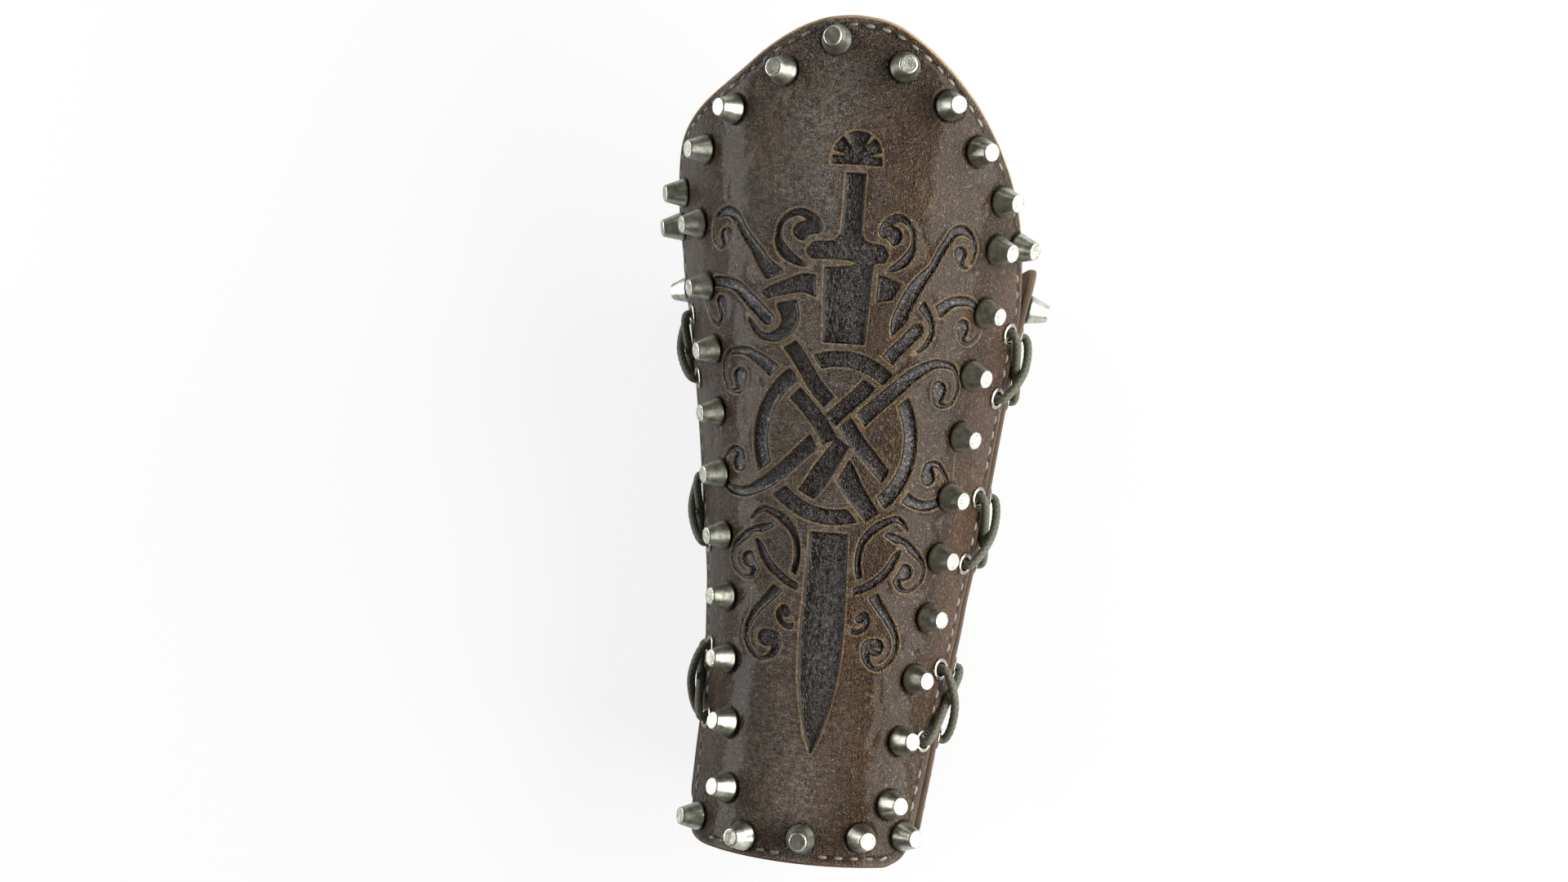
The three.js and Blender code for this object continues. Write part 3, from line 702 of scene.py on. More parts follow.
def level_lines(field, level, spacing):
    """Closed lines where the field has one value, as loops of evenly spaced points."""
    f = field - level
    f = np.where(f == 0, 1e-9, f)
    up = f > 0
    flat = up[:, :-1] != up[:, 1:]
    tall = up[:-1] != up[1:]
    ids_flat = np.full(flat.shape, -1)
    ids_tall = np.full(tall.shape, -1)
    ids_flat[flat] = np.arange(flat.sum())
    ids_tall[tall] = np.arange(tall.sum()) + flat.sum()
    r, c = np.nonzero(flat)
    spots = [np.stack([c + f[r, c] / (f[r, c] - f[r, c + 1]), r], 1)]
    r, c = np.nonzero(tall)
    spots.append(np.stack([c, r + f[r, c] / (f[r, c] - f[r + 1, c])], 1))
    spots = np.vstack(spots) * CELL + (SPAN_U[0], SPAN_V[0])
    cells = np.stack([ids_flat[:-1], ids_tall[:, :-1], ids_flat[1:], ids_tall[:, 1:]], -1)
    count = (cells >= 0).sum(-1)
    links = [[] for _ in spots]
    pairs = [tuple(k for k in cell if k >= 0) for cell in cells[count == 2]]
    for cell in cells[count == 4]:
        pairs += [(cell[0], cell[1]), (cell[2], cell[3])]
    for a, b in pairs:
        links[a].append(b)
        links[b].append(a)
    loops = []
    seen = np.zeros(len(spots), bool)
    for first in range(len(spots)):
        if seen[first] or len(links[first]) != 2:
            continue
        chain, at = [first], links[first][0]
        seen[first] = True
        while not seen[at]:
            seen[at] = True
            chain.append(at)
            ahead = [k for k in links[at] if not seen[k]]
            if not ahead:
                break
            at = ahead[0]
        loop = spots[chain]
        if len(loop) > 8:
            loops.append(even_loop(loop, spacing))
    return loops


def even_loop(points, spacing):
    closed = np.vstack([points, points[:1]])
    run = np.concatenate([[0], np.cumsum(np.linalg.norm(np.diff(closed, axis=0), axis=1))])
    count = max(8, int(round(run[-1] / spacing)))
    at = np.arange(count) / count * run[-1]
    return np.stack([np.interp(at, run, closed[:, k]) for k in range(points.shape[1])], 1)


edge_loops = level_lines(relief, 0.0, 0.7)
print("stamped outlines:", len(edge_loops), "with", sum(len(l) for l in edge_loops), "points")

# %% [markdown]
# ## Studs, eyelets and stitches have places on the hide
# The leather is dented under each stud and pierced at each eyelet, so their places are settled
# before the panels are made. Each place is a point with the direction that faces outwards.

# %% Places of studs and eyelets
EDGE_STUDS = {
    "tongue_top": (-1.7, 266.4), "tongue_left_1": (-16.3, 256.7), "tongue_left_2": (-33.0, 245.4),
    "tongue_left_3": (-46.4, 233.5), "tongue_left_4": (-65.5, 221.2), "tongue_left_5": (-73.0, 210.5),
    "tongue_right_1": (16.8, 259.1), "tongue_right_2": (30.1, 248.8), "tongue_right_3": (40.9, 235.9),
    "tongue_right_4": (52.3, 221.9), "tongue_right_5": (64.2, 208.5), "wrist_left_corner": (-51.0, 8.6),
    "wrist_1": (-22.3, 6.6), "wrist_2": (2.7, 8.5), "wrist_3": (26.8, 10.0),
    "wrist_right_corner": (46.0, 10.5),
}
COLUMN_LEFT = (-33.6, -39.0, -45.6, -49.6, -52.4, -53.0, -52.7, -51.7, -52.4, -53.2)
COLUMN_RIGHT = (38.7, 43.1, 48.7, 53.6, 54.8, 54.9, 55.3, 54.7, 55.0, 54.3)
CROSSINGS = [(180.2, 158.4, False), (124.2, 101.2, False), (65.0, 41.2, True)]
EYELET_INSET = 5.2
BACK_STUD_HEIGHT, BACK_STUD_INSET = 190.0, 5.5

stud_spots = {f"stud_{name}": spot for name, spot in EDGE_STUDS.items()}
for k in range(10):
    stud_spots[f"stud_column_left_{k + 1}"] = (COLUMN_LEFT[k], 20.8 + 21.0 * k)
    stud_spots[f"stud_column_right_{k + 1}"] = (COLUMN_RIGHT[k], 20.8 + 20.6 * k)


def share_from_edge(y, side, distance):
    """Share of the back curve that lies a distance in from its edge."""
    shares = 1 - np.arange(0, 400) * 0.002
    x, z = back_curve(shares, y, side)
    run = np.concatenate([[0], np.cumsum(np.hypot(np.diff(x), np.diff(z)))])
    return side * float(np.interp(distance, run, shares))


def facing(point_at, across, y, sign=1.0):
    """A point in millimetres and the outward direction of the face there."""
    u, v = np.array([across]), np.array([y])
    here = point_at(u, v)[0]
    du = point_at(u + 0.004, v) - point_at(u - 0.004, v)
    dv = point_at(u, v + 1) - point_at(u, v - 1)
    out = np.cross(du[0], dv[0])
    return here, sign * out / np.linalg.norm(out)


def eyelet_spot(panel, side, y):
    if panel == "back":
        return share_from_edge(y, side, EYELET_INSET), y
    return float(np.radians(read(EDGE, 1 if side < 0 else 2, y)) - side * EYELET_INSET / mean_radius(y)), y


def eyelet_face(panel, side, y):
    across, y = eyelet_spot(panel, side, y)
    return facing(front_point, across, y) if panel == "front" else facing(back_point, across, y, -1.0)


def spots_on_hide(spots, degrees):
    return [((math.radians(t) if degrees else t) * float(mean_radius(y)), y) for t, y in spots]


rows = [y for crossing in CROSSINGS for y in crossing[:2]]
front_eyelets = [eyelet_spot("front", side, y) for side in (-1, 1) for y in rows]
front_stud_places = spots_on_hide(stud_spots.values(), True)
front_eyelet_places = spots_on_hide(front_eyelets, False)
back_eyelets = [eyelet_spot("back", side, y) for side in (-1, 1) for y in rows]
back_studs = {
    name: (share_from_edge(BACK_STUD_HEIGHT, sign, BACK_STUD_INSET), BACK_STUD_HEIGHT)
    for name, sign in (("stud_back_left", -1), ("stud_back_right", 1))
}
print("studs:", len(stud_spots) + len(back_studs), "eyelets:", len(front_eyelets) + len(back_eyelets))

# %% [markdown]
# ## Leather panels
# A panel could be a grid with the design pushed into it, but then every edge of the stamp would
# be a staircase. Instead points are laid along the outlines and a Delaunay net is drawn through
# them on the flat hide, so edges stay crisp and plain areas stay light. The net is then bent
# onto the arm, and a rounded rim joins the outer face to the inner one.

# %% Outlines on the flat hide


def front_outline():
    u = np.linspace(-1, 1, 161)

    def angle(u, y):
        side = np.where(u < 0, read(EDGE, 1, y), read(EDGE, 2, y))
        return np.radians(np.abs(u) * side)

    low = read(HEM, 1, u)
    wide = np.where(u < 0, 78.5, 76.6)
    high = read(TONGUE, 1, u * wide)
    right = np.linspace(low[-1], high[-1], 120)[1:-1]
    left = np.linspace(high[0], low[0], 120)[1:-1]
    y = np.concatenate([low, right, high[::-1], left])
    t = np.concatenate([angle(u, low), angle(1.0, right), angle(u, high)[::-1], angle(-1.0, left)])
    return even_loop(np.stack([t * mean_radius(y), y], 1), 0.8)


ARC_Y = np.linspace(0, 214, 54)
ARC_SHARE = np.linspace(0, 1, 121)
ARC = {}
for side in (-1, 1):
    x, z = back_curve(ARC_SHARE[None, :], ARC_Y[:, None], side)
    run = np.cumsum(np.hypot(np.diff(x, axis=1), np.diff(z, axis=1)), 1)
    ARC[side] = np.hstack([np.zeros((len(ARC_Y), 1)), run])


def back_length(u, y):
    """Distance round the back panel from its middle, for a share of its curve."""
    u, y = np.broadcast_arrays(np.asarray(u, float), np.asarray(y, float))
    r = np.clip(y / 214 * 53, 0, 52.999)
    c = np.clip(np.abs(u) * 120, 0, 119.999)
    r0, c0 = r.astype(int), c.astype(int)
    fr, fc = r - r0, c - c0
    out = np.zeros(u.shape)
    for side in (-1, 1):
        a = ARC[side]
        low = a[r0, c0] * (1 - fc) + a[r0, c0 + 1] * fc
        high = a[r0 + 1, c0] * (1 - fc) + a[r0 + 1, c0 + 1] * fc
        out = np.where(np.sign(u) == side, side * (low * (1 - fr) + high * fr), out)
    return out


def back_share(s, y):
    """The share of the curve that lies a distance round the back panel from its middle."""
    low, high = np.zeros(np.shape(s)), np.ones(np.shape(s))
    sign = np.where(np.asarray(s) < 0, -1.0, 1.0)
    for _ in range(22):
        mid = (low + high) / 2
        short = np.abs(back_length(mid * sign, y)) < np.abs(s)
        low, high = np.where(short, mid, low), np.where(short, high, mid)
    return sign * (low + high) / 2


def back_outline():
    u = np.linspace(-1, 1, 241)
    corner = 7 * (1 - np.sqrt(1 - np.clip((np.abs(u) - 0.9) / 0.1, 0, 1) ** 2))
    low = BACK_BOTTOM + corner
    high = BACK_TOP - 7 * np.cos(np.abs(u) * math.pi / 2) ** 2 - corner
    side = np.linspace(low[-1], high[-1], 120)[1:-1]
    y = np.concatenate([low, side, high[::-1], side[::-1]])
    share = np.concatenate([u, np.ones(118), u[::-1], -np.ones(118)])
    return even_loop(np.stack([back_length(share, y), y], 1), 0.9)


def back_places(spots):
    return [(float(back_length(u, y)), y) for u, y in spots]


back_stud_places, back_eyelet_places = back_places(back_studs.values()), back_places(back_eyelets)
front_edge, back_rim = front_outline(), back_outline()
print("outline points:", len(front_edge), len(back_rim))

# %% [markdown]
# The net needs four helpers: a loop moved inwards, a circle, a test for what lies inside a loop
# and the distance to the nearest of many points. A grid of loose points, shaken a little from a
# fixed seed so that no rows show, then fills what the lines leave empty.

# %% Inset loops and the net between them


def inset(loop, distance):
    """The loop moved inwards, for a loop that runs anticlockwise."""
    ahead, behind = np.roll(loop, -3, 0), np.roll(loop, 3, 0)
    tangent = ahead - behind
    tangent /= np.linalg.norm(tangent, axis=1)[:, None]
    return loop + distance * np.stack([-tangent[:, 1], tangent[:, 0]], 1)


def circle(centre, radius, count):
    a = np.arange(count) / count * 2 * math.pi
    return np.stack([centre[0] + radius * np.cos(a), centre[1] + radius * np.sin(a)], 1)


def contains(loop, points):
    inside = np.zeros(len(points), bool)
    x, y = points[:, 0], points[:, 1]
    for (x0, y0), (x1, y1) in zip(loop, np.roll(loop, -1, 0)):
        if (y0 > y).any() or (y1 > y).any():
            crosses = (y0 > y) != (y1 > y)
            inside ^= crosses & (x < x0 + (y - y0) / ((y1 - y0) or 1e-9) * (x1 - x0))
    return inside


def distances(points, targets):
    """Distance from each point to the nearest of the targets."""
    tree = KDTree(len(targets))
    for k, p in enumerate(targets):
        tree.insert((p[0], p[1], 0), k)
    tree.balance()
    return np.array([tree.find((p[0], p[1], 0))[2] for p in points])


def net(border, holes, extra, lines, spacing, keep):
    """Triangles between a border and holes, through extra points and lines."""
    points, edges, owner = [], [], []

    def add(loop, name, closed):
        first = sum(len(p) for p in points)
        points.append(loop)
        owner.extend([name] * len(loop))
        if closed:
            edges.extend((first + k, first + (k + 1) % len(loop)) for k in range(len(loop)))
        return np.arange(first, first + len(loop))

    loops = [add(border, 0, True)] + [add(hole, k + 1, True) for k, hole in enumerate(holes)]
    for line in lines:
        add(line, -1, True)
    low, high = border.min(0), border.max(0)
    across = np.arange(low[0], high[0], spacing)
    along = np.arange(low[1], high[1], spacing * 0.866)
    gx, gy = np.meshgrid(across, along)
    gx = gx + (np.arange(len(along)) % 2)[:, None] * spacing / 2
    fill = np.stack([gx.ravel(), gy.ravel()], 1)
    fill = fill + np.random.default_rng(7).uniform(-0.12, 0.12, fill.shape) * spacing
    fill = fill[contains(border, fill)]
    fill = fill[keep(fill)]
    if len(extra):
        fill = np.vstack([extra, fill])
    add(fill, -1, False)
    flat = np.vstack(points)
    result = delaunay_2d_cdt([Vector(p) for p in flat], edges, [], 0, 1e-5, True)
    verts = np.array([tuple(v) for v in result[0]])
    names = np.full(len(verts), -1)
    place = np.full(len(flat), -1)
    for new, olds in enumerate(result[3]):
        for old in olds:
            place[old] = new
            if owner[old] >= 0:
                names[new] = owner[old]
    faces = np.array([f for f in result[2] if len(f) == 3])
    same = (names[faces[:, 0]] == names[faces[:, 1]]) & (names[faces[:, 1]] == names[faces[:, 2]])
    in_hole = same & (names[faces[:, 0]] > 0)
    rim_only = same & (names[faces[:, 0]] == 0)
    outside = np.zeros(len(faces), bool)
    middle = verts[faces[rim_only]].mean(1)
    outside[np.nonzero(rim_only)[0]] = ~contains(border, middle) if len(middle) else False
    return verts, faces[~(in_hole | outside)], [place[l] for l in loops]


test_circle = circle((0, 140), 20, 12)
print("points of a test circle inside the front:", int(contains(front_edge, test_circle).sum()))

# %% [markdown]
# Cut leather has a rounded corner where the edge was rubbed down. Solidify would give a square
# one, so the outer net, five rim loops, the walls of the holes and the inner net are joined by
# hand into one closed mesh, with a material slot each for face, cut edge and inside.

# %% From net to closed leather panel
RIM = ((0.42, 0.10), (0.14, 0.40), (0.0, 0.95), (0.0, 2.1), (0.2, 2.72))


def build_panel(name, outline, outer, inner, place, sink, materials, flip):
    """Joins an outer net, a rounded rim, hole walls and an inner net into one closed mesh."""
    verts_a, faces_a, loops_a = outer
    verts_b, faces_b, loops_b = inner
    flat, depth, faces, slots = [verts_a], [sink(verts_a)], [*map(tuple, faces_a)], [0] * len(faces_a)
    total = len(verts_a)
    rings = [loops_a[0]]
    for distance, down in RIM:
        flat.append(inset(outline, distance))
        depth.append(np.full(len(outline), down))
        rings.append(np.arange(total, total + len(outline)))
        total += len(outline)
    flat.append(verts_b)
    depth.append(np.full(len(verts_b), WALL))
    faces += [tuple(f[::-1] + total) for f in faces_b]
    slots += [2] * len(faces_b)
    rings.append(loops_b[0] + total)
    for a, b in zip(rings, rings[1:]):
        for k in range(len(a)):
            n = (k + 1) % len(a)
            faces.append((a[n], a[k], b[k], b[n]))
            slots.append(1)
    for top, bottom in zip(loops_a[1:], loops_b[1:]):
        low = bottom + total
        for k in range(len(top)):
            n = (k + 1) % len(top)
            faces.append((top[k], top[n], low[n], low[k]))
            slots.append(1)
    flat, depth = np.vstack(flat), np.concatenate(depth)
    if flip:
        faces = [f[::-1] for f in faces]
    mesh = bpy.data.meshes.new(name)
    mesh.from_pydata(to_world(place(flat[:, 0], flat[:, 1], depth)), [], [tuple(map(int, f)) for f in faces])
    mesh.polygons.foreach_set("material_index", slots)
    mesh.polygons.foreach_set("use_smooth", [True] * len(faces))
    corner = np.zeros(len(mesh.loops), np.int32)
    mesh.loops.foreach_get("vertex_index", corner)
    layer = mesh.uv_layers.new(name="hide")
    layer.uv.foreach_set("vector", (flat[corner] / 100).astype(np.float32).ravel())
    for material in materials:
        mesh.materials.append(material)
    piece = bpy.data.objects.new(name, mesh)
    scene.collection.objects.link(piece)
    return piece, flat


def add_values(piece, name, values):
    layer = piece.data.attributes.new(name, "FLOAT", "POINT")
    layer.data.foreach_set("value", np.asarray(values, np.float32))


def closed_report(piece):
    form = bmesh.new()
    form.from_mesh(piece.data)
    open_edges = sum(1 for e in form.edges if not e.is_manifold)
    volume = form.calc_volume(signed=True) * 1e6
    form.free()
    triangles = sum(len(p.vertices) - 2 for p in piece.data.polygons)
    print(piece.name, "triangles", triangles, "open edges", open_edges, "volume cm3", round(volume, 1))


# %% [markdown]
# Leather is never flat: it carries soft waves, pressed rings under the studs, a shallow channel
# for the seam and creases where the arm bends it. These are a sum of small depths, so each can
# be read and changed by itself. The random parts come from a fixed seed.

# %% Waves, dents and creases


def ripples(x, y, size, seed):
    """Smooth random height between -1 and 1 with bumps of about the given size."""
    rng = np.random.default_rng(seed)
    table = rng.uniform(-1, 1, (64, 64))
    gx, gy = x / size + 500.3, y / size + 500.7
    i, j = np.floor(gx).astype(int), np.floor(gy).astype(int)
    fx, fy = gx - i, gy - j
    fx, fy = fx * fx * (3 - 2 * fx), fy * fy * (3 - 2 * fy)
    a = table[j % 64, i % 64] * (1 - fx) + table[j % 64, (i + 1) % 64] * fx
    b = table[(j + 1) % 64, i % 64] * (1 - fx) + table[(j + 1) % 64, (i + 1) % 64] * fx
    return a * (1 - fy) + b * fy


def creases(s, y, size, seed):
    """Thin sunk lines along the zero lines of a warped random height."""
    warp = 0.6 * size * ripples(s, y, size * 0.7, seed + 1)
    height = ripples(s + warp, (y + warp) * 0.55, size, seed)
    return 1 - step(np.abs(height), 0.0, 0.16)


def seam_depth(edge):
    return 0.3 * step(edge, 2.1, 2.7) * (1 - step(edge, 3.5, 4.1))


def edge_rise(edge):
    return 0.12 * (1 - step(edge, 1.2, 2.2))


def seam_is_clear(s, y, eyelets):
    """1 where the seam's channel runs, 0 beside the eyelets, where it gives way to the steel."""
    gap = np.full(np.shape(s), FAR)
    for s0, y0 in eyelets:
        gap = np.minimum(gap, np.hypot(s - s0, y - y0))
    return step(gap, 4.6, 6.0)


def press_studs(depth, s, y, studs, ring_height):
    """A dent under each stud, with a low ring pushed up round it."""
    for s0, y0 in studs:
        gap = np.hypot(s - s0, y - y0)
        ring = ring_height * step(gap, 5.2, 5.9) * (1 - step(gap, 6.3, 8.2))
        depth = depth * step(gap, 3.8, 7.5) + 0.34 * (1 - step(gap, 4.75, 5.9)) - ring
    return depth


def press_eyelets(depth, s, y, eyelets):
    """A shallow dish round each eyelet."""
    for s0, y0 in eyelets:
        gap = np.hypot(s - s0, y - y0)
        depth = depth * step(gap, 3.6, 6.5) + 0.12 * (1 - step(gap, 4.3, 6.5))
    return depth


def front_sink(points):
    s, y = points[:, 0], points[:, 1]
    distance = sample(relief, *design_place(s, y))
    edge = distances(points, front_edge)
    depth = stamped_depth(distance)
    depth = depth + seam_depth(edge) * seam_is_clear(s, y, front_eyelet_places) - edge_rise(edge)
    calm = step(edge, 0.9, 9)
    depth = depth + calm * (0.32 * ripples(s, y, 27, 3) + 0.14 * ripples(s, y, 9, 4))
    right = step(s / mean_radius(y), 0.35, 0.75)
    left = step(-s / mean_radius(y), 0.6, 1.0)
    plain = step(distance, 0.8, 2.2) * calm
    depth = depth + plain * (0.16 + 0.16 * right + 0.1 * left) * creases(s, y, 13, 11)
    depth = depth + plain * (0.12 * right + 0.06) * creases(s, y, 5.2, 21)
    depth = press_studs(depth, s, y, front_stud_places, 0.08)
    depth = press_eyelets(depth, s, y, front_eyelet_places)
    return depth * step(edge, 0.86, 1.3)


test_patch = np.meshgrid(np.arange(60.0), np.arange(60.0))
print("crease share of a test patch:", round(float(creases(*test_patch, 13, 11).mean()), 3))

# %% [markdown]
# ## Leather finishes
# Worn leather shows three things at once: a fine pebbled grain, creases that hold dark dye, and
# edges rubbed back to tan. Grain, wear and dust are also wanted on other pieces, so each is a
# node group with its own inputs, and only the shader itself stays in the material.

# %% Shared effects as node groups


def new_group(name, inputs, outputs):
    group = bpy.data.node_groups.new(name, "ShaderNodeTree")
    for label, kind, default in inputs:
        socket = group.interface.new_socket(name=label, in_out="INPUT", socket_type=kind)
        if default is not None:
            socket.default_value = default
    for label, kind in outputs:
        group.interface.new_socket(name=label, in_out="OUTPUT", socket_type=kind)
    start, end = group.nodes.new("NodeGroupInput"), group.nodes.new("NodeGroupOutput")
    return group, start.outputs, end.inputs


def use_group(tree, group, **inputs):
    node = tree.nodes.new("ShaderNodeGroup")
    node.node_tree = group
    for key, value in inputs.items():
        socket = node.inputs[key.replace("_", " ")]
        if isinstance(value, bpy.types.NodeSocket):
            tree.links.new(value, socket)
        else:
            socket.default_value = value
    return node.outputs


def make_grain():
    """Pebbled skin with fine dark cracks and shallow veins, for any leather."""
    number = "NodeSocketFloat"
    group, given, made = new_group(
        "grain", [("Vector", "NodeSocketVector", None), ("Pebble", number, 1.0), ("Cracks", number, 0.5)],
        [("Height", number), ("Crack", number)])
    place = given["Vector"]
    warp = put(group, "ShaderNodeTexNoise", None, Vector=place, Scale=260.0, Detail=3.0)
    sway = (0.0035, 0.0035, 0.0035)
    shifted = put(group, "ShaderNodeVectorMath", {"operation": "MULTIPLY_ADD"},
                  i0=warp.outputs[1], i1=sway, i2=place).outputs[0]
    cell = {"feature": "DISTANCE_TO_EDGE"}
    fine = put(group, "ShaderNodeTexVoronoi", cell, Vector=shifted, Scale=1150.0).outputs["Distance"]
    coarse = put(group, "ShaderNodeTexVoronoi", cell, Vector=shifted, Scale=560.0).outputs["Distance"]
    pebble = ease(group, fine, 0.02, 0.32)
    crack = calc(group, "SUBTRACT", 1.0, ease(group, coarse, 0.0, 0.1))
    patch = ease(group, noise(group, place, 62.0, 4.0, 0.6), 0.42, 0.62)
    crack = calc(group, "MULTIPLY", crack, calc(group, "MULTIPLY_ADD", patch, 0.75, 0.25))
    crack = calc(group, "MULTIPLY", crack, given["Cracks"], clamp=True)
    height = calc(group, "MULTIPLY", pebble, given["Pebble"])
    height = calc(group, "SUBTRACT", height, calc(group, "MULTIPLY", crack, 2.2))
    height = calc(group, "ADD", height, calc(group, "MULTIPLY", noise(group, place, 330.0, 5.0, 0.6), 0.8))
    swing = calc(group, "MULTIPLY_ADD", noise(group, place, 480.0, 3.0, 0.55, 0.6), 2.0, -1.0)
    vein = ease(group, calc(group, "ABSOLUTE", swing), 0.0, 0.2)
    height = calc(group, "MULTIPLY_ADD", vein, 2.2, height)
    group.links.new(height, made["Height"])
    group.links.new(crack, made["Crack"])
    return group


def make_wear():
    """Rubbed lips, dark floors and a pale hem, from distances stored on the piece."""
    number = "NodeSocketFloat"
    group, given, made = new_group(
        "edge_wear",
        [("Vector", "NodeSocketVector", None), ("Relief", number, 3.0), ("Edge", number, 12.0),
         ("Rub", number, 1.0)],
        [("Lip", number), ("Floor", number), ("Hem", number)])
    broken = noise(group, given["Vector"], 420.0, 5.0, 0.65)
    shift = calc(group, "MULTIPLY_ADD", broken, 0.6, -0.3)
    at = calc(group, "ADD", given["Relief"], shift)
    rise = ease(group, at, -0.15, 0.08)
    fall = calc(group, "SUBTRACT", 1.0, ease(group, at, 0.22, 0.7))
    patch = ease(group, noise(group, given["Vector"], 70.0, 3.0), 0.3, 0.6, 0.55, 1.0)
    rubbed = calc(group, "MULTIPLY", patch, given["Rub"])
    lip = calc(group, "MULTIPLY", calc(group, "MULTIPLY", rise, fall), rubbed, clamp=True)
    floor = calc(group, "SUBTRACT", 1.0, ease(group, given["Relief"], -0.75, -0.05))
    edge = calc(group, "ADD", given["Edge"], calc(group, "MULTIPLY_ADD", broken, 1.8, -0.9))
    hem = calc(group, "SUBTRACT", 1.0, ease(group, edge, 0.25, 1.7))
    hem = calc(group, "MULTIPLY", hem, given["Rub"], clamp=True)
    for socket, label in ((lip, "Lip"), (floor, "Floor"), (hem, "Hem")):
        group.links.new(socket, made[label])
    return group


def make_scuffs():
    """Patches of fine dust and thin pale scratches."""
    number = "NodeSocketFloat"
    group, given, made = new_group(
        "scuffs", [("Vector", "NodeSocketVector", None), ("Amount", number, 0.5)],
        [("Dust", number), ("Scratch", number)])
    place = given["Vector"]
    dust = ease(group, noise(group, place, 900.0, 6.0, 0.75), 0.56, 0.72)
    dust = calc(group, "MULTIPLY", dust, ease(group, noise(group, place, 38.0, 4.0), 0.4, 0.62))
    lines = []
    for turn, seed in ((0.5, 0.0), (-0.35, 4.0), (1.3, 9.0)):
        at = stretch(group, place, (900.0, 34.0, 120.0), turn)
        streak = noise(group, at, 1.0 + seed * 0.01, 2.0, 0.5)
        lines.append(ease(group, streak, 0.735, 0.76))
    mark = calc(group, "MAXIMUM", calc(group, "MAXIMUM", lines[0], lines[1]), lines[2])
    group.links.new(calc(group, "MULTIPLY", dust, given["Amount"], clamp=True), made["Dust"])
    group.links.new(calc(group, "MULTIPLY", mark, given["Amount"], clamp=True), made["Scratch"])
    return group


grain_group, wear_group, scuff_group = make_grain(), make_wear(), make_scuffs()
print("node groups:", [g.name for g in bpy.data.node_groups])

# %% [markdown]
# The face of the hide is a dark brown dye over tan leather. Under a raking light it also shows
# a faint weave of golden hairlines, where the dye has worn along the grain. Two stretched noises
# on the piece's own map give those lines, one for each direction, because they follow the hide.

# %% The dyed face


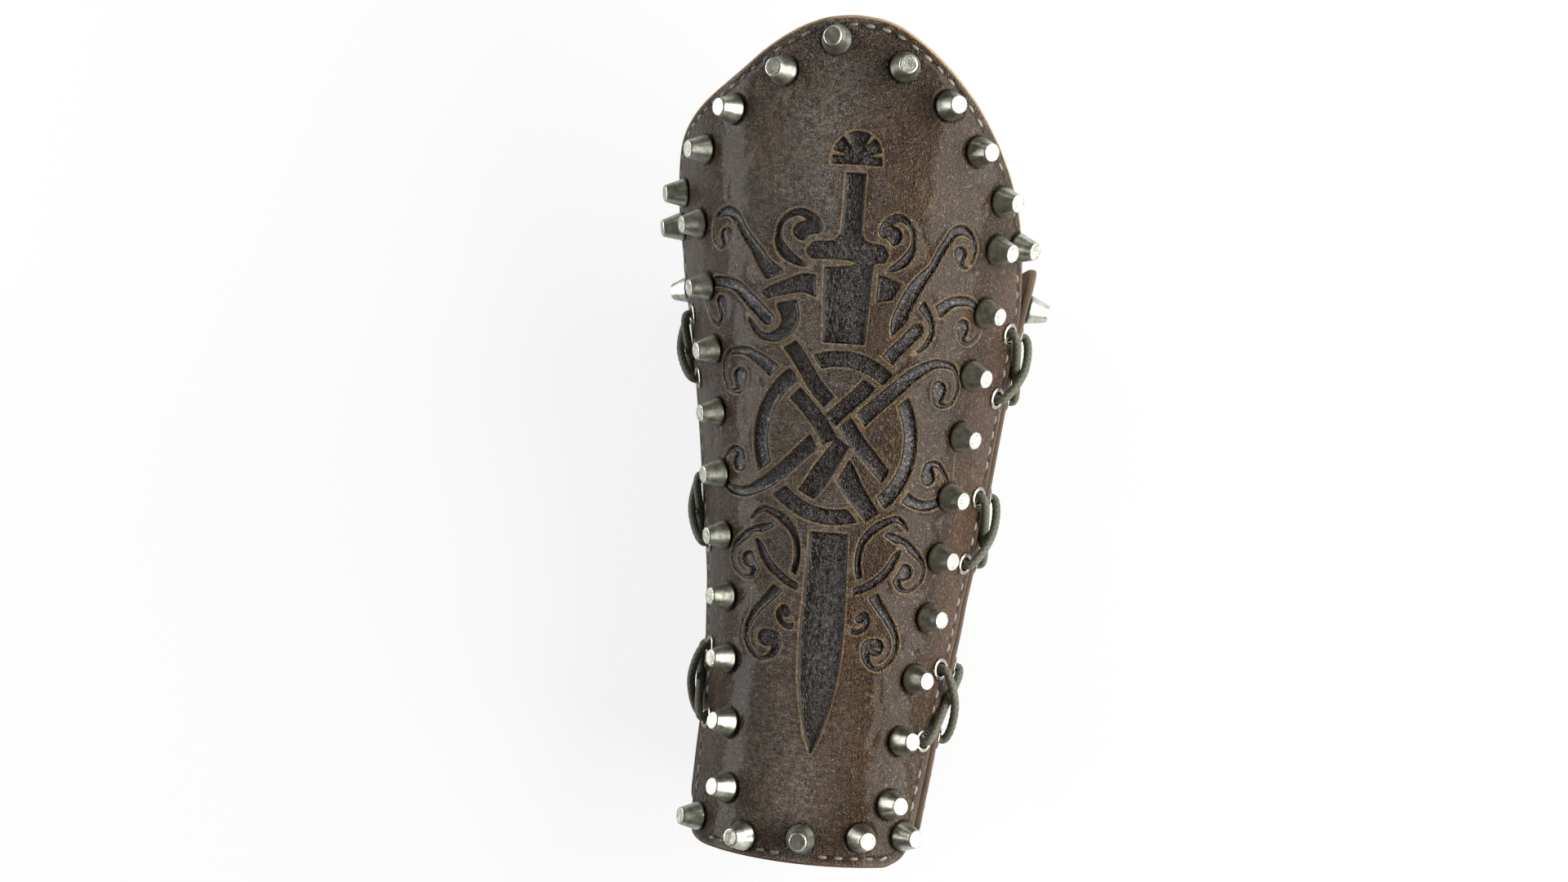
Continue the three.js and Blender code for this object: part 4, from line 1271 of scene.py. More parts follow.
def dyed_leather(name, crack_amount, golden):
    """The outer face: dark dye, golden hairlines, cracks, rubbed lips and dark stamped floors."""
    material, tree, shader = new_material(name)
    coords = put(tree, "ShaderNodeTexCoord")
    place = coords.outputs["Object"]
    hide = put(tree, "ShaderNodeUVMap", {"uv_map": "hide"}).outputs[0]
    relief_at = put(tree, "ShaderNodeAttribute", {"attribute_name": "relief"}).outputs["Fac"]
    edge_at = put(tree, "ShaderNodeAttribute", {"attribute_name": "edge"}).outputs["Fac"]
    contact = put(tree, "ShaderNodeAttribute", {"attribute_name": "contact"}).outputs["Fac"]
    wear = use_group(tree, wear_group, Vector=place, Relief=relief_at, Edge=edge_at, Rub=1.0)
    grain = use_group(tree, grain_group, Vector=place, Pebble=1.0, Cracks=crack_amount)
    scuffs = use_group(tree, scuff_group, Vector=place, Amount=0.55)
    cloud = noise(tree, place, 24.0, 5.0, 0.6)
    fine = noise(tree, place, 190.0, 4.0, 0.6)
    colour = blend(tree, ease(tree, cloud, 0.35, 0.65), rgb(54, 38, 23), rgb(72, 51, 30))
    flank = put(tree, "ShaderNodeAttribute", {"attribute_name": "flank"}).outputs["Fac"]
    # The right flank turns redder brown; the grey-purple on the left flank is a painted sheen.
    colour = blend(tree, calc(tree, "MULTIPLY", flank, 0.7, clamp=True), colour, rgb(82, 54, 33))
    colour = blend(tree, calc(tree, "MULTIPLY", flank, -0.6, clamp=True), colour, rgb(52, 43, 40))
    along = noise(tree, stretch(tree, hide, (120.0, 34.0, 1.0)), 1.0, 4.0, 0.6, 1.3)
    across = noise(tree, stretch(tree, hide, (34.0, 120.0, 1.0)), 1.0, 4.0, 0.6, 1.3)
    lines = calc(tree, "MAXIMUM", ease(tree, along, 0.52, 0.66), ease(tree, across, 0.53, 0.67))
    patch = ease(tree, noise(tree, place, 30.0, 4.0, 0.6), 0.35, 0.65, 0.25, 1.0)
    lines = calc(tree, "MULTIPLY", lines, patch)
    lines = calc(tree, "MULTIPLY", lines, ease(tree, fine, 0.35, 0.6, 0.35, 1.0))
    colour = blend(tree, calc(tree, "MULTIPLY", lines, golden), colour, rgb(124, 98, 56))
    colour = blend(tree, calc(tree, "MULTIPLY", grain["Crack"], 0.75, clamp=True), colour, rgb(22, 15, 13))
    colour = blend(tree, calc(tree, "MULTIPLY", wear["Floor"], 0.94), colour, rgb(19, 11, 8))
    colour = blend(tree, calc(tree, "MULTIPLY", wear["Lip"], 0.85), colour, rgb(134, 112, 70))
    # Painted shade: a dark band on the inner wall of every stamped shape.
    before_wall = calc(tree, "SUBTRACT", 1.0, ease(tree, relief_at, -0.3, 0.02))
    wall_shade = calc(tree, "MULTIPLY", ease(tree, relief_at, -1.0, -0.5), before_wall)
    colour = blend(tree, calc(tree, "MULTIPLY", wall_shade, 0.75), colour, rgb(14, 10, 9))
    before_seam_ends = calc(tree, "SUBTRACT", 1.0, ease(tree, edge_at, 3.6, 4.3))
    groove = calc(tree, "MULTIPLY", ease(tree, edge_at, 2.0, 2.6), before_seam_ends)
    colour = blend(tree, calc(tree, "MULTIPLY", groove, 0.55), colour, rgb(20, 15, 13))
    colour = blend(tree, calc(tree, "MULTIPLY", wear["Hem"], 0.8), colour, rgb(142, 112, 78))
    colour = blend(tree, scuffs["Scratch"], colour, rgb(150, 128, 104))
    colour = blend(tree, calc(tree, "MULTIPLY", scuffs["Dust"], 0.35), colour, rgb(120, 104, 86))
    # Painted shadow: a dark ring round the foot of each stud.
    colour = blend(tree, contact, colour, rgb(12, 9, 8))
    tree.links.new(colour, shader.inputs["Base Color"])
    matt = calc(tree, "MULTIPLY", calc(tree, "ABSOLUTE", flank), 0.16)
    rough = calc(tree, "ADD", calc(tree, "MULTIPLY_ADD", fine, 0.3, 0.12), matt)
    rough = calc(tree, "ADD", rough, calc(tree, "MULTIPLY", wear["Lip"], 0.16))
    rough = calc(tree, "SUBTRACT", rough, calc(tree, "MULTIPLY", wear["Floor"], 0.05), clamp=True)
    tree.links.new(rough, shader.inputs["Roughness"])
    shader.inputs["Coat Weight"].default_value = 0.14
    shader.inputs["Coat Roughness"].default_value = 0.14
    height = calc(tree, "ADD", grain["Height"], calc(tree, "MULTIPLY", lines, 0.5))
    calm = calc(tree, "SUBTRACT", 1.0, calc(tree, "MULTIPLY", wear["Floor"], 0.75))
    height = calc(tree, "MULTIPLY", height, calm)
    bump = put(tree, "ShaderNodeBump", None, Height=height, Strength=0.85, Distance=0.0005)
    tree.links.new(bump.outputs[0], shader.inputs["Normal"])
    return material


def raw_edge():
    """The cut edge: pale fibres round the tongue, and dyed dark further down the sides."""
    material, tree, shader = new_material("leather_cut_edge")
    place = put(tree, "ShaderNodeTexCoord").outputs["Object"]
    fibre = noise(tree, place, 1300.0, 4.0, 0.7)
    cloud = noise(tree, place, 90.0, 3.0)
    colour = blend(tree, fibre, rgb(132, 104, 70), rgb(190, 160, 116))
    colour = blend(tree, ease(tree, cloud, 0.5, 0.7, 0.0, 0.55), colour, rgb(74, 56, 42))
    hide = put(tree, "ShaderNodeUVMap", {"uv_map": "hide"}).outputs[0]
    along = put(tree, "ShaderNodeSeparateXYZ", None, Vector=hide).outputs["Y"]
    colour = blend(tree, ease(tree, along, 1.9, 2.25, 0.88, 0.0), colour, rgb(44, 31, 24))
    tree.links.new(colour, shader.inputs["Base Color"])
    shader.inputs["Roughness"].default_value = 0.7
    bump = put(tree, "ShaderNodeBump", None, Height=fibre, Strength=0.5, Distance=0.0003)
    tree.links.new(bump.outputs[0], shader.inputs["Normal"])
    return material


def flesh_side():
    """The inside of the hide is matt suede: a short nap, soft clouds of two browns and dust."""
    material, tree, shader = new_material("leather_flesh_side")
    place = put(tree, "ShaderNodeTexCoord").outputs["Object"]
    nap = noise(tree, place, 1500.0, 5.0, 0.75)
    cloud = noise(tree, place, 33.0, 5.0, 0.65)
    scuffs = use_group(tree, scuff_group, Vector=place, Amount=0.5)
    colour = blend(tree, ease(tree, cloud, 0.3, 0.7), rgb(98, 74, 54), rgb(134, 106, 78))
    colour = blend(tree, ease(tree, nap, 0.4, 0.7, 0.0, 0.5), colour, rgb(82, 60, 44))
    colour = blend(tree, scuffs["Dust"], colour, rgb(160, 136, 108))
    tree.links.new(colour, shader.inputs["Base Color"])
    shader.inputs["Roughness"].default_value = 0.9
    shader.inputs["Sheen Weight"].default_value = 0.25
    height = calc(tree, "ADD", nap, cloud)
    bump = put(tree, "ShaderNodeBump", None, Height=height, Strength=0.6, Distance=0.0005)
    tree.links.new(bump.outputs[0], shader.inputs["Normal"])
    return material


front_leather = dyed_leather("leather_embossed_face", 0.8, 0.9)
back_leather = dyed_leather("leather_plain_face", 0.8, 0.35)
edge_leather, inner_leather = raw_edge(), flesh_side()
print("leather finishes:", [m.name for m in bpy.data.materials if "leather" in m.name])

# %% [markdown]
# The outer net of the front carries the most detail, so lines are laid along every level of the
# stamp, along the seam and in rings round studs and eyelets. The inside is plain, so its net is
# wide. Distances to the stamp and the edge are stored for the material to read, and so is a
# painted shadow round the studs.

# %% Build the front panel


SEAM_LINES = (1.6, 2.2, 2.75, 3.45, 4.1)
STUD_RINGS = (4.6, 5.1, 5.7, 6.6)
STAMP_LINES = ((-0.95, 0.8), (-0.4, 0.8), (0.08, 0.75), (0.55, 0.85), (1.25, 1.0))
HOLE_RADIUS = 2.5


def on_front(s, y, depth):
    return front_point(s / mean_radius(y), y, depth)


def rings_round(centres, radii, count, outline, clear):
    """Loose points in rings, kept off the border."""
    points = np.vstack([circle(c, r, count) for c in centres for r in radii])
    points = points[contains(outline, points)]
    return points[distances(points, outline) > clear]


def loose_points(rim, studs, eyes):
    """Points where the face changes: along the seam and round studs and eyelets."""
    loops = np.vstack([inset(rim, distance) for distance in SEAM_LINES])
    extra = np.vstack([loops, rings_round(studs, STUD_RINGS, 34, rim, 4.8)])
    extra = extra[distances(extra, eyes) > 3.6]
    return np.vstack([extra, *(circle(c, 3.3, 20) for c in eyes)])


def inside_net(rim, holes, eyes):
    """A wide net for the inside, which carries no pattern."""
    def keep(points):
        return (distances(points, rim) > 2.6) & (distances(points, eyes) > 4.6)

    return net(inset(rim, 0.7), holes, np.zeros((0, 2)), [], 4.2, keep)


def make_front():
    studs, eyes = np.array(front_stud_places), np.array(front_eyelet_places)
    holes = [circle(c, HOLE_RADIUS, 20) for c in eyes]
    extra = loose_points(front_edge, studs, eyes)
    lines = []
    for level, spacing in STAMP_LINES:
        for loop in level_lines(relief, level, spacing):
            lines.append(np.stack(hide_place(loop[:, 0], loop[:, 1]), 1))

    def keep(points):
        distance = sample(relief, *design_place(points[:, 0], points[:, 1]))
        ok = (distance < -1.45) | (distance > 1.75)
        ok &= distances(points, front_edge) > 4.7
        ok &= distances(points, studs) > 7.2
        return ok & (distances(points, eyes) > 4.2)

    extra = extra[distances(extra, np.vstack(lines)) > 0.5]
    outer = net(inset(front_edge, 0.9), holes, extra, lines, 1.2, keep)
    piece, flat = build_panel(
        "bracer_front", front_edge, outer, inside_net(front_edge, holes, eyes), on_front, front_sink,
        [front_leather, edge_leather, inner_leather], False)
    distance = np.clip(sample(relief, *design_place(flat[:, 0], flat[:, 1])), -3, 3)
    edge = np.minimum(distances(flat, front_edge), 12)
    gap = distances(flat, studs)
    add_values(piece, "relief", distance)
    add_values(piece, "edge", edge)
    # A painted shadow round the foot of each stud.
    add_values(piece, "contact", 0.85 * (1 - step(gap, 4.9, 5.7)))
    angle = flat[:, 0] / mean_radius(flat[:, 1])
    # Positive on the right flank and negative on the left, where the face takes a painted sheen.
    add_values(piece, "flank", step(angle, 0.98, 1.14) - step(-angle, 0.95, 1.1))
    return piece


front_piece = make_front()
closed_report(front_piece)

# %% [markdown]
# The back panel carries no stamp, only the seam, two studs, twelve eyelets and the soft waves of
# leather. It is made from the same helpers as the front, on its own face and its own outline.
# Its flat strip stays calm, because it rests on the table.

# %% Build the back panel


def back_sink(points):
    s, y = points[:, 0], points[:, 1]
    edge = distances(points, back_rim)
    flat_floor = step(np.abs(s), 15, 24)
    calm = step(edge, 0.9, 9) * flat_floor
    depth = seam_depth(edge) * seam_is_clear(s, y, back_eyelet_places) - edge_rise(edge) * flat_floor
    depth = depth + calm * (0.34 * ripples(s, y, 25, 31) + 0.14 * ripples(s, y, 9, 32) + 0.3)
    depth = depth + calm * 0.24 * creases(s, y, 15, 33) + calm * 0.1 * creases(s, y, 6, 34)
    depth = press_studs(depth, s, y, back_stud_places, 0.0)
    depth = press_eyelets(depth, s, y, back_eyelet_places)
    return depth * step(edge, 0.86, 1.3)


def on_back(s, y, depth):
    return back_point(back_share(s, y), y, depth)


def make_back():
    studs, eyes = np.array(back_stud_places), np.array(back_eyelet_places)
    holes = [circle(c, HOLE_RADIUS, 20) for c in eyes]

    def keep(points):
        ok = distances(points, back_rim) > 4.8
        ok &= distances(points, studs) > 7.2
        return ok & (distances(points, eyes) > 4.2)

    outer = net(inset(back_rim, 0.9), holes, loose_points(back_rim, studs, eyes), [], 1.5, keep)
    piece, flat = build_panel(
        "bracer_back", back_rim, outer, inside_net(back_rim, holes, eyes), on_back, back_sink,
        [back_leather, edge_leather, inner_leather], True)
    gap = distances(flat, studs)
    add_values(piece, "relief", np.full(len(flat), 3.0))
    add_values(piece, "edge", np.minimum(distances(flat, back_rim), 12))
    # A painted shadow round the foot of each stud.
    add_values(piece, "contact", 0.85 * (1 - step(gap, 4.9, 5.7)))
    return piece


back_piece = make_back()
closed_report(back_piece)

# %% [markdown]
# ## Studs
# Each stud is a turned pewter cone with a flat, hammered tip. Thirty-eight of them repeat, so a
# Geometry Nodes tree sets one turned form on every place. The tree lines the form up with the
# face, spins it by chance from a fixed seed, and gives each its own tone for the material.

# %% A turned form and the tree that repeats it


def turned_form(name, profile, sides, closed=False):
    """Spins a profile of radius and height round the upright axis."""
    verts, faces, up = [], [], []
    top = max(h for _, h in profile)
    for radius, height in profile:
        count = 1 if radius == 0 else sides
        for k in range(count):
            a = 2 * math.pi * k / sides
            verts.append((radius * MM * math.cos(a), radius * MM * math.sin(a), height * MM))
            up.append(height / top)
    starts = np.concatenate([[0], np.cumsum([1 if r == 0 else sides for r, _ in profile])])
    pairs = list(zip(range(len(profile) - 1), range(1, len(profile))))
    if closed:
        pairs.append((len(profile) - 1, 0))
    for a, b in pairs:
        for k in range(sides):
            n = (k + 1) % sides
            ring_a = [starts[a]] if profile[a][0] == 0 else [starts[a] + k, starts[a] + n]
            ring_b = [starts[b]] if profile[b][0] == 0 else [starts[b] + n, starts[b] + k]
            faces.append([int(i) for i in ring_a + ring_b])
    mesh = bpy.data.meshes.new(name)
    mesh.from_pydata(verts, [], faces)
    mesh.polygons.foreach_set("use_smooth", [True] * len(faces))
    form = bpy.data.objects.new(name, mesh)
    scene.collection.objects.link(form)
    add_values(form, "up", up)
    return form


def repeat_tree(name, material):
    """Sets a form on each point, faced and turned by the points' own directions."""
    tree = bpy.data.node_groups.new(name, "GeometryNodeTree")
    face = tree.interface
    face.new_socket(name="Places", in_out="INPUT", socket_type="NodeSocketGeometry")
    for label, kind, default in (("Form", "NodeSocketObject", None), ("Size", "NodeSocketFloat", 1.0),
                                 ("Size Change", "NodeSocketFloat", 0.02), ("Spin", "NodeSocketFloat", 1.0),
                                 ("Seed", "NodeSocketInt", 1)):
        socket = face.new_socket(name=label, in_out="INPUT", socket_type=kind)
        if default is not None:
            socket.default_value = default
    face.new_socket(name="Pieces", in_out="OUTPUT", socket_type="NodeSocketGeometry")
    given = tree.nodes.new("NodeGroupInput").outputs
    vector = {"data_type": "FLOAT_VECTOR"}
    out = put(tree, "GeometryNodeInputNamedAttribute", vector, Name="out").outputs[0]
    along = put(tree, "GeometryNodeInputNamedAttribute", vector, Name="along").outputs[0]
    low, high = (-1.0, -1.0, -1.0), (1.0, 1.0, 1.0)
    chance = put(tree, "FunctionNodeRandomValue", vector, i0=low, i1=high, Seed=given["Seed"])
    mixed = put(tree, "ShaderNodeMix", {"data_type": "VECTOR"},
                i0=given["Spin"], i4=along, i5=chance.outputs[0])
    upright = put(tree, "FunctionNodeAlignRotationToVector", {"axis": "Z"}, Vector=out)
    turned = put(tree, "FunctionNodeAlignRotationToVector", {"axis": "X", "pivot_axis": "Z"},
                 Rotation=upright.outputs[0], Vector=mixed.outputs[1])
    sizes = put(tree, "FunctionNodeRandomValue", {"data_type": "FLOAT"}, Seed=given["Seed"])
    tree.links.new(calc(tree, "SUBTRACT", given["Size"], given["Size Change"]), sizes.inputs[2])
    tree.links.new(calc(tree, "ADD", given["Size"], given["Size Change"]), sizes.inputs[3])
    form = put(tree, "GeometryNodeObjectInfo", {"transform_space": "ORIGINAL"}, Object=given["Form"])
    setting = put(tree, "GeometryNodeInstanceOnPoints", None, Points=given["Places"],
                  Instance=form.outputs["Geometry"], Rotation=turned.outputs[0], Scale=sizes.outputs[1])
    tone = put(tree, "FunctionNodeRandomValue", {"data_type": "FLOAT"}, Seed=given["Seed"])
    store = put(tree, "GeometryNodeStoreNamedAttribute", {"data_type": "FLOAT", "domain": "INSTANCE"},
                Geometry=setting.outputs[0], Name="tone")
    tree.links.new(tone.outputs[1], store.inputs["Value"])
    real = put(tree, "GeometryNodeRealizeInstances", None, Geometry=store.outputs[0])
    finish = put(tree, "GeometryNodeSetMaterial", None, Geometry=real.outputs[0], Material=material)
    end = tree.nodes.new("NodeGroupOutput")
    tree.links.new(finish.outputs[0], end.inputs[0])
    return tree


def as_mesh(carrier, tree, values, name):
    """Runs a tree on a carrier and keeps the result as a plain mesh object."""
    modifier = carrier.modifiers.new("repeat", "NODES")
    modifier.node_group = tree
    for item in tree.interface.items_tree:
        if item.in_out == "INPUT" and item.name in values:
            modifier[item.identifier] = values[item.name]
    graph = bpy.context.evaluated_depsgraph_get()
    mesh = bpy.data.meshes.new_from_object(carrier.evaluated_get(graph))
    mesh.name = name
    finish = next(m for m in mesh.materials if m)
    mesh.materials.clear()
    mesh.materials.append(finish)
    mesh.polygons.foreach_set("material_index", [0] * len(mesh.polygons))
    piece = bpy.data.objects.new(name, mesh)
    scene.collection.objects.link(piece)
    old = carrier.data
    bpy.data.objects.remove(carrier)
    bpy.data.meshes.remove(old)
    print(name, "faces", len(mesh.polygons), "materials", [m.name for m in mesh.materials])
    return piece


def points_carrier(name, places, outs, alongs):
    """Loose points in metres with their directions stored on them."""
    mesh = bpy.data.meshes.new(name)
    mesh.from_pydata([tuple(p) for p in places], [], [])
    for label, values in (("out", outs), ("along", alongs)):
        layer = mesh.attributes.new(label, "FLOAT_VECTOR", "POINT")
        layer.data.foreach_set("vector", np.asarray(values, np.float32).ravel())
    carrier = bpy.data.objects.new(name, mesh)
    scene.collection.objects.link(carrier)
    return carrier


def turn_direction(v):
    c, s = math.cos(REST_TURN), math.sin(REST_TURN)
    return np.array([v[0], c * v[1] - s * v[2], s * v[1] + c * v[2]])


def points_from_faces(faces):
    """World places and outward directions of faces, with the arm as the direction along."""
    places = [to_world(here) for here, _ in faces]
    outs = [turn_direction(out) for _, out in faces]
    return places, outs, [(0.0, 1.0, 0.0)] * len(faces)


# %% [markdown]
# Old pewter is grey-green and soft, so it is never evenly bright: the sides are clouded and the
# tip is pitted. Painted shade darkens the foot, and a painted highlight lightens the rim of the tip.

# %% Pewter and steel finishes


def pewter():
    material, tree, shader = new_material("pewter_worn")
    place = put(tree, "ShaderNodeTexCoord").outputs["Object"]
    up = put(tree, "ShaderNodeAttribute", {"attribute_name": "up"}).outputs["Fac"]
    tone = put(tree, "ShaderNodeAttribute", {"attribute_name": "tone"}).outputs["Fac"]
    scuffs = use_group(tree, scuff_group, Vector=place, Amount=0.6)
    cloud = noise(tree, place, 420.0, 4.0, 0.65)
    speck = noise(tree, place, 2600.0, 3.0, 0.6)
    tip = ease(tree, up, 0.965, 0.985)
    below_tip = calc(tree, "SUBTRACT", 1.0, ease(tree, up, 0.985, 0.997))
    # Painted highlight on the rim of the tip.
    rim = calc(tree, "MULTIPLY", ease(tree, up, 0.9, 0.95), below_tip)
    colour = blend(tree, ease(tree, cloud, 0.35, 0.65), rgb(152, 154, 141), rgb(204, 205, 195))
    colour = blend(tree, calc(tree, "MULTIPLY", tone, 0.35), colour, rgb(176, 177, 165))
    pits = calc(tree, "MULTIPLY", ease(tree, speck, 0.56, 0.62), tip)
    colour = blend(tree, pits, colour, rgb(70, 72, 66))
    colour = blend(tree, calc(tree, "MULTIPLY", rim, 0.5), colour, rgb(186, 186, 178))
    # Painted shade darkens the foot of the stud, where it meets the leather.
    foot = calc(tree, "SUBTRACT", 1.0, ease(tree, up, 0.02, 0.2))
    colour = blend(tree, calc(tree, "MULTIPLY", foot, 0.7), colour, rgb(52, 54, 46))
    colour = blend(tree, calc(tree, "MULTIPLY", scuffs["Dust"], 0.5), colour, rgb(70, 70, 62))
    tree.links.new(colour, shader.inputs["Base Color"])
    shader.inputs["Metallic"].default_value = 1.0
    rough = calc(tree, "MULTIPLY_ADD", cloud, 0.2, 0.26)
    rough = calc(tree, "ADD", rough, calc(tree, "MULTIPLY", pits, 0.25))
    tree.links.new(rough, shader.inputs["Roughness"])
    height = calc(tree, "ADD", calc(tree, "MULTIPLY", cloud, 1.2), calc(tree, "MULTIPLY", pits, -0.8))
    bump = put(tree, "ShaderNodeBump", None, Height=height, Strength=0.35, Distance=0.0002)
    tree.links.new(bump.outputs[0], shader.inputs["Normal"])
    return material


def eyelet_steel():
    material, tree, shader = new_material("steel_eyelet")
    place = put(tree, "ShaderNodeTexCoord").outputs["Object"]
    cloud = noise(tree, place, 700.0, 4.0, 0.6)
    scuffs = use_group(tree, scuff_group, Vector=place, Amount=0.8)
    colour = blend(tree, cloud, rgb(124, 122, 112), rgb(168, 166, 156))
    colour = blend(tree, scuffs["Dust"], colour, rgb(84, 80, 70))
    tree.links.new(colour, shader.inputs["Base Color"])
    shader.inputs["Metallic"].default_value = 1.0
    tree.links.new(calc(tree, "MULTIPLY_ADD", cloud, 0.2, 0.16), shader.inputs["Roughness"])
    return material


pewter_finish, steel_finish = pewter(), eyelet_steel()

# %% [markdown]
# The profile of a stud is read from its foot, which is pressed a little into the leather, up the
# straight side and over the rounded rim to the flat tip. A modelled cone with a bevel would do as
# well, but a turned profile also gives the height that the pewter reads.

# %% Set the studs
STUD_PROFILE = [
    (0, -0.25), (4.5, -0.25), (4.86, -0.05), (4.95, 0.35), (4.9, 0.75), (4.7, 1.3), (4.1, 3.2),
    (3.45, 5.3), (3.02, 6.75), (2.92, 7.05), (2.74, 7.24), (2.5, 7.32), (2.2, 7.31), (1.2, 7.27), (0, 7.25),
]


def set_studs():
    form = turned_form("stud_form", STUD_PROFILE, 40)
    faces = [facing(front_point, math.radians(t), y) for t, y in stud_spots.values()]
    faces += [facing(back_point, u, y, -1.0) for u, y in back_studs.values()]
    carrier = points_carrier("stud_places", *points_from_faces(faces))
    tree = repeat_tree("set_studs", pewter_finish)
    values = {"Form": form, "Size": 1.0, "Size Change": 0.012, "Spin": 1.0, "Seed": 5}
    piece = as_mesh(carrier, tree, values, "cone_studs")
    bpy.data.objects.remove(form)
    return piece


stud_piece = set_studs()
closed_report(stud_piece)

# %% [markdown]
# ## Eyelets
# An eyelet is a short tube of steel whose two ends are rolled over the leather. It is turned
# from one closed profile and repeated on the twenty-four holes by a tree of the same kind,
# without spin.

# %% Set the eyelets
EYELET_PROFILE = [
    (2.38, -3.1), (2.8, -3.5), (3.3, -3.5), (4.05, -3.2), (4.0, -3.06), (2.6, -3.0), (2.62, 0.1),
    (3.8, -0.04), (3.95, 0.0), (3.85, 0.22), (3.55, 0.5), (3.1, 0.66), (2.72, 0.62), (2.46, 0.4),
    (2.36, 0.1),
]


def set_eyelets():
    form = turned_form("eyelet_form", EYELET_PROFILE, 32, closed=True)
    faces = []
    for panel in ("front", "back"):
        faces += [eyelet_face(panel, side, y) for side in (-1, 1) for y in rows]
    carrier = points_carrier("eyelet_places", *points_from_faces(faces))
    tree = repeat_tree("set_eyelets", steel_finish)
    values = {"Form": form, "Size": 1.0, "Size Change": 0.0, "Spin": 0.0, "Seed": 3}
    piece = as_mesh(carrier, tree, values, "eyelets")
    bpy.data.objects.remove(form)
    return piece


eyelet_piece = set_eyelets()
closed_report(eyelet_piece)

# %% [markdown]
# ## Laces
# Each side is closed by one round cord, out through an eyelet, across the gap and in again, with
# the long runs hidden inside. It is held along its whole length, so it isn't a loose cord. The
# route takes the same eyelets in the same order as the solid does, a little nearer the leather.
# Its ends don't show on the real piece, so the cord closes on itself inside.

# %% The lace's route
LACE_WIDTH = 2.8


def lace_route(side):
    outside = LACE_WIDTH / 2 + 0.7
    within = -(WALL + LACE_WIDTH / 2 + 0.7)

    def eye(k, row, panel):
        return eyelet_face(panel, side, CROSSINGS[k][row])

    def above(face, height):
        return face[0] + face[1] * height

    route = []

    def span(k, row, from_panel):
        to_panel = "back" if from_panel == "front" else "front"
        start, end = eye(k, row, from_panel), eye(k, 1 - row, to_panel)
        upper_front = (row == 0) == (from_panel == "front")
        on_top = upper_front == CROSSINGS[k][2]
        lift = 3.7 if on_top else 0.8
        out = start[1] + end[1]
        out = out / np.linalg.norm(out)
        middle = (above(start, outside) + above(end, outside)) / 2 + out * lift
        route.extend([above(start, within), above(start, -WALL / 2), above(start, outside), middle])
        route.extend([above(end, outside), above(end, -WALL / 2), above(end, within)])

    def inside(start, end):
        out = start[1] + end[1]
        out = out / np.linalg.norm(out)
        route.append((above(start, within) + above(end, within)) / 2 - out * 0.9)

    span(0, 0, "front")
    inside(eye(0, 1, "back"), eye(1, 0, "back"))
    span(1, 0, "back")
    inside(eye(1, 1, "front"), eye(2, 0, "front"))
    span(2, 0, "front")
    inside(eye(2, 1, "back"), eye(2, 1, "front"))
    span(2, 1, "front")
    inside(eye(2, 0, "back"), eye(1, 1, "back"))
    span(1, 1, "back")
    inside(eye(1, 0, "front"), eye(0, 1, "front"))
    span(0, 1, "front")
    inside(eye(0, 0, "back"), eye(0, 0, "front"))
    return np.array(route)


def closed_curve(points, parts=14):
    """A centripetal closed curve through the points, with no kinks or loops."""
    out = []
    n = len(points)
    for i in range(n):
        p0, p1, p2, p3 = (points[(i + k) % n] for k in (-1, 0, 1, 2))
        d0, d1, d2 = (max(np.linalg.norm(b - a) ** 0.5, 1e-4) for a, b in ((p0, p1), (p1, p2), (p2, p3)))
        t1 = ((p1 - p0) / d0 - (p2 - p0) / (d0 + d1) + (p2 - p1) / d1) * d1
        t2 = ((p2 - p1) / d1 - (p3 - p1) / (d1 + d2) + (p3 - p2) / d2) * d1
        for s in np.arange(parts) / parts:
            a, b = 2 * s**3 - 3 * s**2 + 1, s**3 - 2 * s**2 + s
            c, d = 3 * s**2 - 2 * s**3, s**3 - s**2
            out.append(a * p1 + b * t1 + c * p2 + d * t2)
    return np.array(out)


# %% [markdown]
# The strands of a braid could be modelled one by one, but here only their bumps show. So a
# tree sweeps a ring along the route, and two waves that run round it in opposite directions lift
# its surface into crossing strands. Their height is kept for the material, which paints shade in the
# hollows.

# %% Sweep and braid the laces


def lace_finish():
    material, tree, shader = new_material("cord_olive")
    place = put(tree, "ShaderNodeTexCoord").outputs["Object"]
    rib = put(tree, "ShaderNodeAttribute", {"attribute_name": "rib"}).outputs["Fac"]
    fuzz = noise(tree, place, 1900.0, 4.0, 0.7)
    cloud = noise(tree, place, 160.0, 3.0)
    scuffs = use_group(tree, scuff_group, Vector=place, Amount=0.4)
    # Painted shade: the hollows between strands are darker than their crowns.
    colour = blend(tree, ease(tree, rib, 0.15, 0.85), rgb(44, 44, 36), rgb(86, 86, 72))
    colour = blend(tree, ease(tree, cloud, 0.4, 0.7, 0.0, 0.4), colour, rgb(60, 60, 48))
    colour = blend(tree, ease(tree, fuzz, 0.5, 0.75, 0.0, 0.4), colour, rgb(106, 104, 90))
    colour = blend(tree, scuffs["Dust"], colour, rgb(126, 120, 100))
    tree.links.new(colour, shader.inputs["Base Color"])
    shader.inputs["Roughness"].default_value = 0.68
    shader.inputs["Sheen Weight"].default_value = 0.2
    bump = put(tree, "ShaderNodeBump", None, Height=fuzz, Strength=0.5, Distance=0.0002)
    tree.links.new(bump.outputs[0], shader.inputs["Normal"])
    return material


